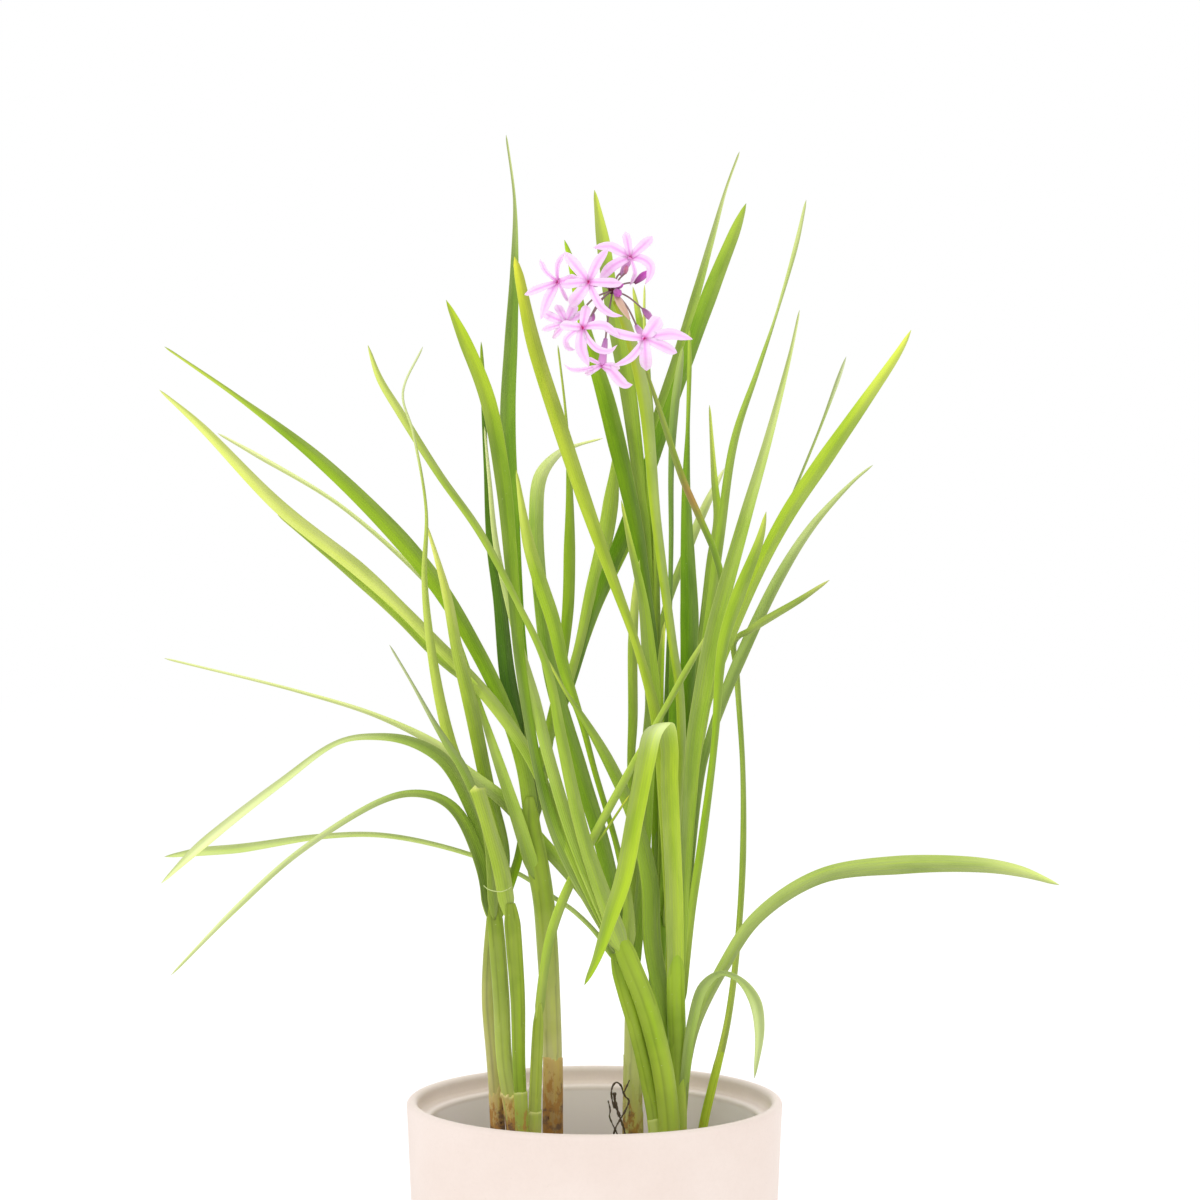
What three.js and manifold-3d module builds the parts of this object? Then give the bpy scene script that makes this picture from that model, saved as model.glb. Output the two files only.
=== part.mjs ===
// Potted society garlic: a round pot of soil, leafy stems, and one flower stem with its umbel.
// Millimetres, +Z up, the front of the plant faces -Y. The origin is the middle of the underside.
import * as THREE from 'three';
import { mergeVertices } from 'three/addons/utils/BufferGeometryUtils.js';
import Module from 'manifold-3d';

const wasm = await Module();
wasm.setup();

// Driving sizes of the pot
const POT_HEIGHT = 106.7;
const RIM_RADIUS = 56.25;
const BASE_RADIUS = 51.3;
const LIP_WIDTH = 3.3;
const LIP_ROUND = 1.6;
const LEDGE_TOP = 5.2;
const LEDGE_DEPTH = 6.8;
const THROAT_RADIUS = 49.2;
const FLOOR_RADIUS = 45.6;
const FLOOR_THICKNESS = 7;
const LEDGE_EASE = 1.2;
const FOOT_ROUND = 2.5;
const ROUND_SHARE = 0.3;
const POT_SIDES = 44;

// Driving sizes of the soil
const SOIL_BELOW_RIM = 24;
const SOIL_CROWN = 2;
const CROWN_REACH = 0.6;
const CROWN_EASE = 0.3;
const CLEARANCE = 0.35;

// Driving sizes of leaves, stems and petals
const EDGE_THICKNESS = 0.6;
const RIB_THICKNESS = 0.95;
const CHANNEL = 0.1;
const STEM_SIDES = 8;
const STEM_FLATNESS = 0.86;
const STALK_SIDES = 4;
const TUBE_SIDES = 5;
const SPANS_PER_POINT = 1.15;
const FOLDED_TURNS = [8, 8];
const SCRAP_VOLUME = 0.5;

// Routes are set out as they look from the front, on the upright plane through the pot's axis.
// Each point is then carried to its own depth along its line of sight from this viewpoint.
const EYE = new THREE.Vector3(1.65, -791, 256);

// The clump fans out from front to back with height: written depths grow by this share at the top.
const FAN_FROM = 97;
const FAN_OVER = 300;
const FAN_SHARE = 0.7;
const FAN_POWER = 1.5;

// A route point is [across, depth, up, width]. A leaf is [turn at its base, turn at its tip, route].
// The turn in degrees says how far the blade is twisted away from facing the front.
const STEMS = {
  leafy_stem_left_back: {
    sheaths: [
      [[-29, 0, 67, 4.2], [-29, 0, 97, 4.2], [-30.4, 0.5, 117.5, 4], [-32, 1.5, 136, 3.7],
        [-31.7, 2.5, 148, 3.6], [-30.5, 3.5, 160, 4], [-29.5, 4.5, 170, 4]],
    ],
    leaves: [
      [10, 30, [[-31.5, 3.5, 160, 4], [-35, 6, 190, 3.6], [-43.5, 4.5, 214, 3.6], [-48.5, 1, 238, 2.8],
        [-51, -6, 262, 1.8], [-50.5, -15, 283, 0.9], [-54.5, -25, 306.5, 0.8], [-57.5, -29, 318, 0.7],
        [-51.5, -34, 332, 0.6]]],
      [15, 22, [[-30, 4.5, 166, 3.6], [-27, 6, 178, 3.3], [-32.5, 7, 202, 4.2], [-37.5, -0.2, 226, 4.5],
        [-41, -0.8, 240, 3.6], [-44, -1, 256, 3], [-47, -4, 267.5, 1.7], [-50.5, -7, 279, 0.6]]],
      [10, 25, [[-30, 4, 158, 3.4], [-26, 6.5, 169, 3], [-23, 9.5, 178, 2.7], [-21.5, 11.5, 186, 2.4],
        [-20, 12.5, 195, 1.6], [-19, 13, 202, 0.6]]],
    ],
  },
  leafy_stem_left_middle: {
    sheaths: [
      [[-23.7, -9, 67, 4.8], [-24, -9, 97, 4.8], [-27, -9, 118, 4.8], [-27.9, -8.5, 136, 5],
        [-29, -8, 151, 5], [-30.3, -7.5, 166, 4.6]],
    ],
    leaves: [
      [15, 50, [[-31, -7.5, 160, 4.4], [-33.5, -8, 175, 3.8], [-40.5, -9, 191.5, 3.5],
        [-46.5, -10, 196.5, 2.7], [-55, -12, 198, 2.1], [-64.5, -14.5, 195.5, 1.9], [-88.5, -20, 180.5, 1.8],
        [-106.5, -24, 164.5, 1.8], [-127, -29, 143.5, 0.6]]],
      [10, 45, [[-30.5, -7, 160, 4.4], [-31, -6.5, 177, 3.8], [-35, -6.5, 188.5, 3.6], [-42, -7, 203.5, 3.9],
        [-46.5, -8, 209, 3.9], [-55, -9.5, 213.5, 3], [-64.5, -11, 215, 2.1], [-76.5, -14, 213.5, 1.5],
        [-94.5, -18, 201, 2.4], [-118.5, -24, 182, 3.2], [-130, -27, 171, 0.6]]],
      [20, 30, [[-30, -8.5, 160, 3.5], [-32.5, -10.5, 187, 2.4], [-39.5, -11.5, 205.5, 3],
        [-44, -12, 212.5, 2.4], [-48, -13, 219, 1.5], [-55, -16.5, 231.5, 0.8], [-61.5, -20, 242.5, 0.6]]],
    ],
  },
  leafy_stem_left_front: {
    sheaths: [
      [[-21.2, -16, 67, 3.7], [-21.7, -16, 97, 3.7], [-22.6, -16, 118, 3.9], [-22.9, -16, 136, 4.4],
        [-23.9, -15.5, 151, 4.9], [-25, -15.5, 165, 5]],
    ],
    leaves: [
      [10, 10, [[-25.6, -15.5, 160, 4.8], [-28, -15.5, 175, 5.2], [-31.4, -16, 187, 4.3],
        [-34.5, -16.5, 197.5, 4.4], [-35.3, -16.5, 200, 5.2]]],
    ],
  },
  leafy_stem_slim: {
    sheaths: [
      [[-18, -8, 67, 3.7], [-18, -8, 97, 3.8], [-17.5, -8.5, 112, 3.7], [-17, -9.5, 124, 3.5],
        [-16.5, -10.5, 135, 2.8]],
    ],
    leaves: [
      [10, 25, [[-17, -10, 128, 3], [-15.5, -11, 142, 2.9], [-13.5, -11.5, 154, 3.1], [-9.5, -12, 166, 3],
        [-1.5, -12.5, 182.5, 2.7], [9, -12.5, 202, 2.5], [19.5, -10.5, 220.5, 1.9], [28.5, -6, 236.5, 2.1],
        [35, -2, 247.5, 0.6]]],
    ],
  },
  leafy_stem_brown_base: {
    sheaths: [
      [[-12, 4, 67, 5.9], [-12.5, 4, 97, 5.9], [-12.5, 4, 118, 5.7], [-13.2, 4, 136, 6.1],
        [-14, 4, 151, 6.4], [-15.2, 4, 166, 6.4], [-17.2, 3.5, 178, 6.8], [-19, 3.2, 188, 6],
        [-19.5, 3.5, 197, 4.4]],
    ],
    leaves: [
      [10, 30, [[-17.5, 1.5, 172, 4.6], [-22.5, 0, 188.5, 4.2], [-28.5, 2.5, 206.5, 3.3], [-34, 8, 223, 1.8],
        [-41, 11, 244, 1.5], [-45, 14.5, 254.5, 1.5], [-52.5, 18, 263.5, 1.5], [-76.5, 27, 284.5, 1.2],
        [-100.5, 35, 299, 1.5], [-113, 39, 306, 0.6]]],
      [10, 22, [[-18, 3.5, 184, 5], [-21.5, 4, 207, 4.6], [-28, 5, 226, 4.4], [-37, 7, 244, 4.5],
        [-46.5, 10, 259.5, 5.1], [-58.5, 14, 274.5, 5.4], [-82.5, 21, 298, 3.9], [-106.5, 29, 316.5, 1.5],
        [-129, 35, 332, 0.6]]],
      [5, 20, [[-18, 5, 186, 5], [-20.5, 7.5, 208, 4], [-25.9, 11, 232, 5], [-28.5, 13, 256, 3.9],
        [-31, 14, 272.5, 2.9], [-32.5, 15, 295, 1.4], [-33.5, 17, 322, 1.6], [-34, 17.5, 333.5, 0.6]]],
      [15, 25, [[-17.5, 6, 190, 4.6], [-20, 8, 223, 2.8], [-22.5, 7.5, 250, 3], [-24.5, 6.5, 280, 4.2],
        [-26, 6, 310, 4.8], [-25, 6.5, 334, 4], [-24, 7.5, 356, 2.5], [-24, 9, 376, 0.9],
        [-26.5, 11, 395.5, 0.6]]],
      [10, 30, [[-18, 5.5, 190, 4.6], [-14, 10, 214, 3.6], [-10.5, 13, 232, 2.6], [-8, 17, 253, 3.6],
        [-7.5, 20, 271, 3.6], [-7.5, 23, 289, 2.1], [-8.5, 27, 310.5, 0.8], [-11, 31, 332.5, 0.6]]],
      [10, 20, [[-18.5, 5, 188, 4.6], [-15, 9.5, 211, 3.6], [-8, 13.5, 229, 3.2], [-1.5, 18.5, 250, 3.9],
        [11.3, 25, 282, 5.1], [24, 32, 317.5, 3.9], [34.5, 38, 347.5, 5], [42.5, 42.5, 367.5, 3.3],
        [45.5, 45, 375, 0.6]]],
      [20, 30, [[-10, 12.5, 223, 3], [0, 19.5, 252, 2.8], [13, 28, 281, 2.6], [18, 33, 308.5, 2.3],
        [25, 39, 329.5, 3], [30, 43, 346, 2.9], [35.5, 48, 365.5, 1.8], [39.5, 52, 379.5, 0.8],
        [43.5, 56, 390.5, 0.6]]],
      [15, 25, [[-11, 12, 221, 3], [-5, 15.5, 241, 2.7], [-1, 19.5, 259, 3.6], [3, 22, 274, 5],
        [5, 23.5, 286, 4.8], [6, 25, 295, 2.6], [7, 26, 307, 0.6]]],
    ],
  },
  leafy_stem_pale: {
    sheaths: [
      [[11.5, 8, 67, 6.1], [11.5, 8, 97, 6.1], [11.5, 8, 118, 5.4], [11.5, 8, 136, 4.8],
        [11.5, 8, 160, 3.6]],
    ],
    leaves: [
      [10, 20, [[11.5, 8, 148, 4], [11.5, 8, 181, 3], [11, 8, 208, 2.4], [11.5, 8, 220, 3],
        [11.5, 8.5, 244, 3], [12.5, 10, 259, 2.4], [13.5, 11, 268, 0.6]]],
      [15, 20, [[11.5, 7.5, 142, 4], [15, 5, 181, 3.6], [16.5, 4.5, 214, 4.4], [17.5, 4.5, 226, 4.8],
        [16.5, 5, 238, 4.8], [14.5, 6, 256, 3], [10.5, 7.5, 274, 1.8], [8, 9, 286, 0.6]]],
    ],
  },
  leafy_stem_leaning: {
    sheaths: [
      [[23, -16, 67, 6.4], [22.5, -16, 97, 6.4], [21, -16, 112, 6.6], [18.5, -16, 124, 6.6],
        [15, -15.5, 136, 6.6], [11, -15, 146, 6.4], [7, -14.5, 156, 6]],
      [[18.5, -13, 67, 4.6], [18.5, -13, 97, 4.6], [16, -12.5, 112, 4.6], [12.5, -12.5, 127, 4.5],
        [9, -12.5, 139, 4.5], [6, -12.5, 150, 4.4]],
    ],
    leaves: [
      [10, 25, [[9, -14.5, 150, 6], [-4.5, -16, 175.5, 4], [-14.5, -14, 199, 3.6], [-20, -11, 210, 3.6],
        [-28.5, -4.5, 222.5, 3.9], [-37.5, 6.2, 233, 3.9], [-46.5, 8.5, 242, 3.7], [-58.5, 9.5, 254, 3.6],
        [-70.5, 13, 265, 4.5], [-94.5, 20, 284, 4.2], [-118.5, 27, 308.5, 2.4], [-130.5, 30, 319, 0.6]]],
      [20, 20, [[-34, 3, 229, 3], [-46.5, 9.8, 238.5, 2.6], [-58.5, 11, 251, 3.2], [-70.5, 14.5, 262, 3.4],
        [-82.5, 18, 272, 2.4], [-95, 22, 281.5, 0.6]]],
      [15, 30, [[9, -15, 150, 6], [-3, -19.5, 184, 4.2], [-9.5, -21.5, 212.5, 3.6], [-14.5, -22, 236.5, 2.4],
        [-23, -22, 255, 1.8], [-34.5, -22, 276.5, 2.4], [-46.5, -21, 293.5, 2.4], [-58.5, -19, 312.5, 2.6],
        [-64.5, -18, 322.5, 2.1], [-68, -17, 332.5, 0.6]]],
      [20, 25, [[9, -15, 150, 6], [-6, -18, 184, 4], [-13.5, -17, 208, 3.6], [-18, -15.5, 226, 3.6],
        [-23, -15, 244, 2.4], [-29.5, -15, 272.5, 1.8], [-31.5, -15, 292, 1.2], [-33, -15, 308, 0.6]]],
      [10, 18, [[9, -14.5, 150, 6], [-8, -16, 178, 3.8], [-13, -16.5, 190, 3.6], [-17.5, -17, 208, 3],
        [-22, -18, 235, 3.4], [-24.3, -18, 259, 3.8], [-27.5, -18, 292, 4.8], [-32, -18, 316, 4.8],
        [-39, -17.5, 334, 4], [-44.5, -17, 346, 0.8]]],
      [15, 25, [[10, -14, 150, 5.5], [10, -8, 166, 3], [7, -3, 181, 1.8], [0, -0.5, 205, 1.8],
        [-4, 0, 220, 2], [-9, 0, 235, 3.6], [-12.5, -0.5, 250, 4.4], [-16.5, -1, 262, 4.5],
        [-20, -1.5, 274, 3.6], [-23.5, -2, 295, 0.7]]],
      [5, 25, [[8, -13.5, 150, 6], [3.5, -3, 178, 4.8], [-4.5, 1.5, 205, 5.1], [-12.5, 4, 232, 5],
        [-16, 5, 256, 4.5], [-17.5, 6.5, 280, 4.5], [-16, 8, 293.5, 4.2], [-10, 9.5, 300.5, 1.9],
        [-5, 10.5, 302.5, 0.9], [2.5, 12, 304.5, 0.6]]],
      [10, 30, [[9, -13, 148, 4.4], [1.5, -6, 161.5, 3.9], [-4.5, 0, 170.5, 4.2], [-16.5, 8.5, 184, 4.2],
        [-22, 7, 190.5, 4.2], [-28.5, 3, 197, 4.2], [-39.5, 0, 205.5, 3.3], [-46.5, -1.5, 212, 2.7],
        [-64.5, -2, 221, 1.5], [-88.5, 0, 228.5, 1], [-129, 4, 238.5, 0.6]]],
      [20, 40, [[7, -13, 147, 3], [1, -8, 155.5, 1.4], [-6, 0, 162.5, 1.4], [-12.5, 9, 167, 1.3],
        [-23, 15, 174, 1.3], [-43.5, 18, 181.5, 1.4], [-64.5, 20, 185.5, 1.5], [-82.5, 21, 185, 1.6],
        [-106.5, 23, 181.5, 2.7], [-118.5, 24, 180.5, 2.6], [-129, 25, 179, 0.6]]],
    ],
  },
  leafy_stem_upright: {
    sheaths: [
      [[25, -5, 67, 5.7], [25, -5.5, 97, 5.7], [25, -7, 118, 5.6], [24.5, -9, 136, 5.6],
        [24.5, -11, 151, 5.2]],
    ],
    folded: [[24.5, -9, 136, 5.2], [24, -14, 166, 5.4], [23, -17.5, 190, 5.4], [22.5, -19.5, 202, 5.4],
      [22.5, -22, 212, 5.4], [21, -27, 218.5, 5.6], [17.5, -32, 216, 6], [15.5, -34.5, 208, 5.8],
      [12, -38.5, 190, 5.4], [8.5, -41.5, 172, 5.3], [4.5, -43, 160, 4.5], [0.5, -44, 148, 2.6],
      [-3, -44.5, 140.5, 1]],
    leaves: [
      [10, 25, [[24, -7, 122, 5], [17.5, -6, 152, 5.6], [16.5, -6, 172, 5.4], [11.5, -6, 191.5, 4.2],
        [4, -7, 208, 3.6], [-3, -8.5, 220, 2.1], [-9, -10.5, 229, 1], [-14.5, -13, 239, 0.6]]],
      [15, 20, [[24, -9, 146, 4], [21, -6, 196, 4], [18.6, -6, 220, 3.6], [12.6, -6, 242.5, 2.4],
        [5.6, -6, 262, 3.3], [-3, -6, 286, 4.4], [-11, -6, 310, 4.8], [-18.5, -5, 334, 4.5],
        [-23, -4.5, 355, 2.7], [-24, -4.5, 359, 0.8]]],
      [10, 22, [[24.5, -9, 136, 4.4], [28, -13.5, 188.5, 4.2], [30, -15.5, 214, 5.1], [32.5, -16, 229, 5.5],
        [36, -17, 247, 5.4], [45, -19, 280, 4], [52, -21, 304, 2.7], [59, -23, 331, 1.1],
        [61.5, -24, 343, 0.6]]],
      [15, 18, [[25, -8.5, 136, 4.4], [27.5, -10, 180, 3.6], [31, -11, 214, 3.6], [35, -12, 230.5, 3.7],
        [48, -14, 262.5, 4], [57.5, -16, 281, 4.8], [68.5, -18, 297.5, 5.1], [80, -20, 314, 4],
        [91, -22, 330, 2.4], [95, -23, 337, 0.7]]],
      [20, 25, [[25.5, -8, 132, 3.4], [29, -10.5, 162, 2.6], [32.5, -14, 185.5, 2.6], [36, -17.5, 213, 2.1],
        [38.5, -20.5, 242.5, 3.4], [43, -22.5, 257, 4.5], [49.5, -25, 274, 2.7], [51.5, -26, 282.5, 0.7]]],
      [20, 30, [[46, -13.7, 258, 3], [57, -13, 281.5, 1.3], [61.5, -10.5, 292.5, 0.8], [68, -8, 308.5, 0.8],
        [73, -6, 322, 1.4], [75.5, -5, 329, 0.6]]],
      [10, 30, [[25.5, -9, 150, 3.6], [32.5, -9, 206.5, 2.4], [38, -7.5, 224.5, 3.3], [43.5, -6.5, 238, 3.9],
        [55.5, -5, 263, 3.5], [65.5, -4, 278.5, 2.5], [77.5, -3, 291.5, 1], [83.5, -2, 296.5, 0.6]]],
      [15, 35, [[25.5, -6, 96, 3.6], [28, -9, 118, 2.6], [31, -11, 130, 3], [39, -12.5, 146.5, 4],
        [49, -13, 161, 4.3], [67.5, -14, 173, 4.9], [91.5, -16, 176.5, 6.2], [115.5, -18, 176.5, 4.9],
        [128, -19, 174.5, 3.6], [139.5, -20, 170.5, 0.7]]],
      [20, 30, [[26, -7, 104, 3], [29.5, -12, 130, 3.3], [33, -16.5, 140.5, 3.4], [38, -19, 144, 1.6],
        [43.5, -21, 142, 2.1], [48, -22.3, 136, 3.9], [49.5, -23, 127, 3], [48, -23.5, 112.5, 0.6]]],
    ],
  },
  leafy_stem_right_back: {
    sheaths: [
      [[20, 12, 67, 6], [20, 12, 97, 6], [20, 12, 125, 6], [19.5, 12, 145, 6.2], [19.5, 12, 164, 5.6]],
    ],
    leaves: [
      [5, 20, [[19, 12, 150, 5], [19, 12.5, 196, 3.6], [18.5, 13.5, 236.5, 2.2], [16, 14.5, 256, 3],
        [12, 15, 280, 4.5], [6.5, 15, 304, 5.7], [3.5, 15, 316, 5.4], [-3.5, 16, 340, 3.4],
        [-7, 16.5, 357.5, 2.2], [-9, 17, 364, 0.8]]],
      [10, 20, [[19.5, 12, 150, 5], [19.5, 13, 200, 3], [16, 17, 271, 2.4], [13.5, 19, 292, 4],
        [10, 21, 319, 5.1], [5.5, 23, 343, 4.6], [2.5, 25, 364, 4.3], [0, 26, 379, 0.8]]],
      [15, 30, [[19.5, 12.5, 158, 4], [18.5, 15, 230, 3], [16.5, 20, 301, 2.6], [15, 22.5, 332.5, 2.4],
        [13.5, 23.5, 340, 2.4], [11.5, 25, 350, 0.7]]],
      [15, 30, [[19, 12.5, 158, 4], [19, 15, 230, 2.4], [17.5, 19, 307, 1.2], [15, 20.5, 338.5, 1],
        [15, 21.5, 350.5, 0.6]]],
      [10, 40, [[21, 11, 158, 3], [28.5, 8, 196, 2.4], [36, 4, 238, 2.2], [38.3, 0, 260, 2.1],
        [36.2, -2, 269.8, 2.1], [31.2, -2, 281.5, 2.2], [26.6, -2, 292, 2.2], [20.5, 0, 310, 1.8],
        [15, 1.5, 326.5, 0.7]]],
      [20, 60, [[20, 12, 158, 4], [22.5, 14, 248.5, 1.4], [23, 15.5, 274, 1.5], [23, 17, 295, 1.8],
        [24, 18.5, 313, 2.7], [25.5, 19.5, 325, 2.4], [26.5, 20, 332, 0.8]]],
      [10, 30, [[20.5, 12, 156, 5], [27, 13, 200, 3], [28, 14, 232, 4.6], [28.5, 15, 250, 5.9],
        [28, 16, 268, 4.6], [27.5, 17.5, 289, 2.7], [28, 18.5, 308, 1.2], [28.5, 20, 327, 1.5],
        [28.5, 21, 337.5, 0.7]]],
      [15, 25, [[21, 12, 158, 4], [29, 15, 215, 3.6], [32.5, 17, 241, 4.2], [35.5, 20, 268, 3.9],
        [37, 21, 280, 2.8], [36, 22, 292, 2.1], [34.5, 24, 314.5, 0.6]]],
      [20, 35, [[21, 12, 160, 4], [31, 11.5, 225, 3], [37.5, 12, 274, 2.9], [42, 13.5, 304, 2.5],
        [49, 15.5, 325, 1.5], [54.5, 17, 341.5, 0.8], [60.5, 19, 362.5, 1.5], [63.5, 20.5, 376, 0.7]]],
      [20, 30, [[19.5, 13, 164, 3], [19, 15.5, 230, 2.2], [21, 18, 251.5, 2.4], [28.5, 22, 272.5, 2.7],
        [33.5, 24, 284.5, 2.7], [39, 26, 295.5, 0.8]]],
      [20, 25, [[20.5, 12, 160, 3], [20, 11.5, 215, 1.6], [20, 10.5, 238, 2.1], [21, 10.5, 249.5, 0.7]]],
      [15, 20, [[21, 11.5, 160, 4], [24.5, 10.5, 221.5, 4.8], [24, 11, 232, 3.6], [23, 12, 250, 0.7]]],
    ],
  },
  leafy_stem_far_right: {
    sheaths: [
      [[29.5, 3, 67, 2.8], [32.5, 2, 97, 2.8], [35.5, 1.5, 110.5, 2.6], [38.5, 1, 122.5, 2.4]],
    ],
    leaves: [
      [10, 25, [[35.5, 1.5, 110.5, 2.6], [40, 0.5, 130, 2.1], [43, 0, 154, 1.9], [44.5, 0, 178, 2],
        [44.5, -0.5, 205, 1.6], [43, -1.5, 229, 1.8], [42.5, -2, 236, 1.8], [41.7, -4.5, 242.5, 1.8],
        [43.5, -8, 245.3, 1.8], [46, -10.5, 246.5, 2], [50.5, -11.5, 249.5, 2.6], [61.5, -14, 256, 2],
        [67.5, -15.5, 260, 1.2], [70.5, -16, 262, 0.6]]],
    ],
  },
};

// The flower stem: the same kind of points, as a flattened round stalk
const FLOWER_STEM = [[22.5, 3.5, 67, 3.4], [22.5, 3.5, 136, 3.2], [24, 3, 175, 3], [26, 2, 205, 2.8],
  [25.5, 0.5, 229, 2.7], [23.5, -0.5, 242.5, 2.6], [18.5, -4, 280, 3], [15, -7.5, 316, 4],
  [10, -9.5, 337, 3.4], [6.5, -11, 346, 2.6]];
const FLOWER_STEM_DEPTH = 2.6;

// The umbel's knob, and for each floret its throat, how far it turns to the front, and its petals.
// A petal is its width and the points [across, up] that it passes on its way from the throat to its tip.
const KNOB = [5.5, -11.5, 349];
const KNOB_RADIUS = 1.5;
const PETAL_LENGTH = 12;
const PETAL_SWEEP_BACK = 5;
const PETAL_THICKNESS = 0.6;
const PETAL_ROOT_IN = 0.3;
const PETAL_ROOT_WIDTH = 1.2;
const PETAL_BOW = 1;
const PETAL_TURN_SHARE = 0.35;
const PETAL_SHARES = [0, 0.3, 0.55, 0.8, 1];
const PETAL_TIP_WIDTH = 0.7;
const PETAL_TAPER = 0.75;
const TUBE_LENGTH = 8;
const TUBE_WIDTH = 1.9;
const PEDICEL_WIDTH = 1;
const PEDICEL_BOW = 1.5;
const BUD_BOW = 0.8;
const BRACT_TURNS = [10, 30];
const FLORETS = [
  { throat: [10.7, -15, 358.8], front: 0.6, petals: [
    [2.6, [9.3, 366.4]],
    [3, [17.4, 365]],
    [2.8, [16, 357.6], [17, 354.6], [15.2, 350.8]],
    [1.3, [12.2, 354], [10.6, 350.4]],
    [3.2, [6, 356.6], [1.6, 352.4]],
    [3, [4.4, 362.1], [-0.3, 361.6]]] },
  { throat: [-1.8, -24, 351.4], front: 0.6, petals: [
    [3.3, [-5.6, 356.3], [-9.1, 360.4]],
    [2.9, [0.8, 357.2], [4.1, 361.4]],
    [3, [8.2, 351]],
    [2.5, [1.6, 344.4], [4.4, 342], [8.4, 341.2]],
    [3.8, [-7.4, 344.1]],
    [2.9, [-10, 350.6]]] },
  { throat: [-11, -18, 351.4], front: 0.6, petals: [
    [1.6, [-14.7, 354.6], [-16.3, 358.2]],
    [1.6, [-11.2, 356.2], [-9.2, 360]],
    [2.3, [-16.2, 349.6], [-21, 347.6]],
    [3.1, [-14, 346.2], [-16.1, 340.2]],
    [1.2, [-8, 345.6]],
    [2.8, [-4.5, 352.8]]] },
  { throat: [-8.4, -17, 339.2], front: 0.6, petals: [
    [1.9, [-15.8, 337]],
    [2.8, [-12.4, 340.7], [-15.4, 342.3]],
    [2.6, [-11.4, 344.6]],
    [3, [-5.8, 344.8]],
    [2.4, [-2.8, 342.4]],
    [2, [-12.6, 334.6]]] },
  { throat: [-3.6, -26, 337.8], front: 0.6, petals: [
    [3, [-2.4, 344.4]],
    [2.7, [2.6, 338.4], [7.6, 335]],
    [2.2, [-0.9, 332.8], [2, 330.8], [5, 330.8], [6.8, 332.5]],
    [3.5, [-4, 331.6], [-1.6, 326.2]],
    [1.9, [-7.8, 335.2], [-8.9, 332.4], [-5.8, 331]],
    [3, [-10.4, 338.6]]] },
  { throat: [15, -24, 334.5], front: 0.6, petals: [
    [4.6, [19.6, 340.8]],
    [3.4, [22.8, 335.8], [29.4, 334.2]],
    [3.1, [20.4, 332.2], [24.7, 330.1]],
    [3.8, [15.6, 324.8]],
    [2.5, [12.1, 329.8], [9.3, 327.6], [5.4, 326.2]],
    [2.9, [8.4, 335.6], [1.6, 338.2]]] },
  { throat: [2.2, -14, 326.6], front: 0.05, petals: [
    [1.4, [-3.6, 325.1], [-6.8, 325.1], [-9.2, 326.7]],
    [2.2, [-2.8, 323.8]],
    [3.2, [5.7, 324.2], [8.4, 320.9], [11.4, 320.6]],
    [2.2, [7.6, 325.8]],
    [1.4, [-2.2, 328.6]]] },
];

// Buds as [root, tip, width], each on a stalk from the knob, and the papery bract below the knob
const BUDS = [
  [[9.2, -13, 353.8], [9.7, -13.6, 356.4], 1.5],
  [[12, -11, 351], [16.3, -11.5, 354.8], 2.1],
  [[14.5, -13, 343.4], [17.3, -14, 339.9], 2.1],
  [[-0.4, -15, 342.2], [-0.7, -16, 339.4], 1.5],
  [[6.4, -13, 349.5], [8.7, -14, 350.7], 1.4],
  [[6.2, -12.5, 348.7], [7.6, -15, 347.6], 2.6],
];
const BRACT = [[6.4, -12.6, 347.6, 1.4], [7.6, -14, 345.4, 2.4], [9.2, -14.6, 342.8, 2.2],
  [10.6, -15, 340.2, 0.7]];

// Colours
const COLOURS = {
  pot: 0xf3e6dc,
  potting_soil: 0x3b2c22,
  leaf: 0x7aa62c,
  leaf_dark: 0x5d8a1f,
  flower_stem: 0x9cb84a,
  flower_head: 0xe9b4e6,
};
const NODE_COLOURS = {
  leafy_stem_right_back: COLOURS.leaf_dark,
  leafy_stem_brown_base: COLOURS.leaf_dark,
};

function material(colour, roughness = 0.6) {
  return new THREE.MeshStandardMaterial({ color: colour, roughness, metalness: 0 });
}

// A closed solid from a geometry: shared vertices are merged first.
function solid(geometry) {
  geometry.deleteAttribute('normal');
  geometry.deleteAttribute('uv');
  const merged = mergeVertices(geometry, 1e-4);
  return new wasm.Manifold(new wasm.Mesh({
    numProp: 3,
    vertProperties: new Float32Array(merged.attributes.position.array),
    triVerts: new Uint32Array(merged.index.array),
  }));
}

function geometryOf(body) {
  const mesh = body.getMesh();
  const geometry = new THREE.BufferGeometry();
  geometry.setAttribute('position', new THREE.BufferAttribute(new Float32Array(mesh.vertProperties), 3));
  geometry.setIndex(new THREE.BufferAttribute(new Uint32Array(mesh.triVerts), 1));
  geometry.computeVertexNormals();
  return geometry;
}

// Skins a row of rings, which all have the same number of points, and closes both ends.
// Edges listed in reversed get the other diagonal, so that a blade's two faces are split alike.
function skin(rings, reversed = []) {
  const count = rings[0].length;
  const positions = rings.flat().flatMap((point) => [point.x, point.y, point.z]);
  const index = [];
  for (let ring = 0; ring < rings.length - 1; ring += 1) {
    for (let edge = 0; edge < count; edge += 1) {
      const next = (edge + 1) % count;
      const low = ring * count;
      const high = low + count;
      if (reversed.includes(edge)) {
        index.push(low + edge, low + next, high + edge, low + next, high + next, high + edge);
      } else {
        index.push(low + edge, low + next, high + next, low + edge, high + next, high + edge);
      }
    }
  }
  const last = (rings.length - 1) * count;
  for (let corner = 1; corner < count - 1; corner += 1) {
    index.push(0, corner + 1, corner, last, last + corner, last + corner + 1);
  }
  const geometry = new THREE.BufferGeometry();
  geometry.setAttribute('position', new THREE.Float32BufferAttribute(positions, 3));
  geometry.setIndex(index);
  return geometry;
}

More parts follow.
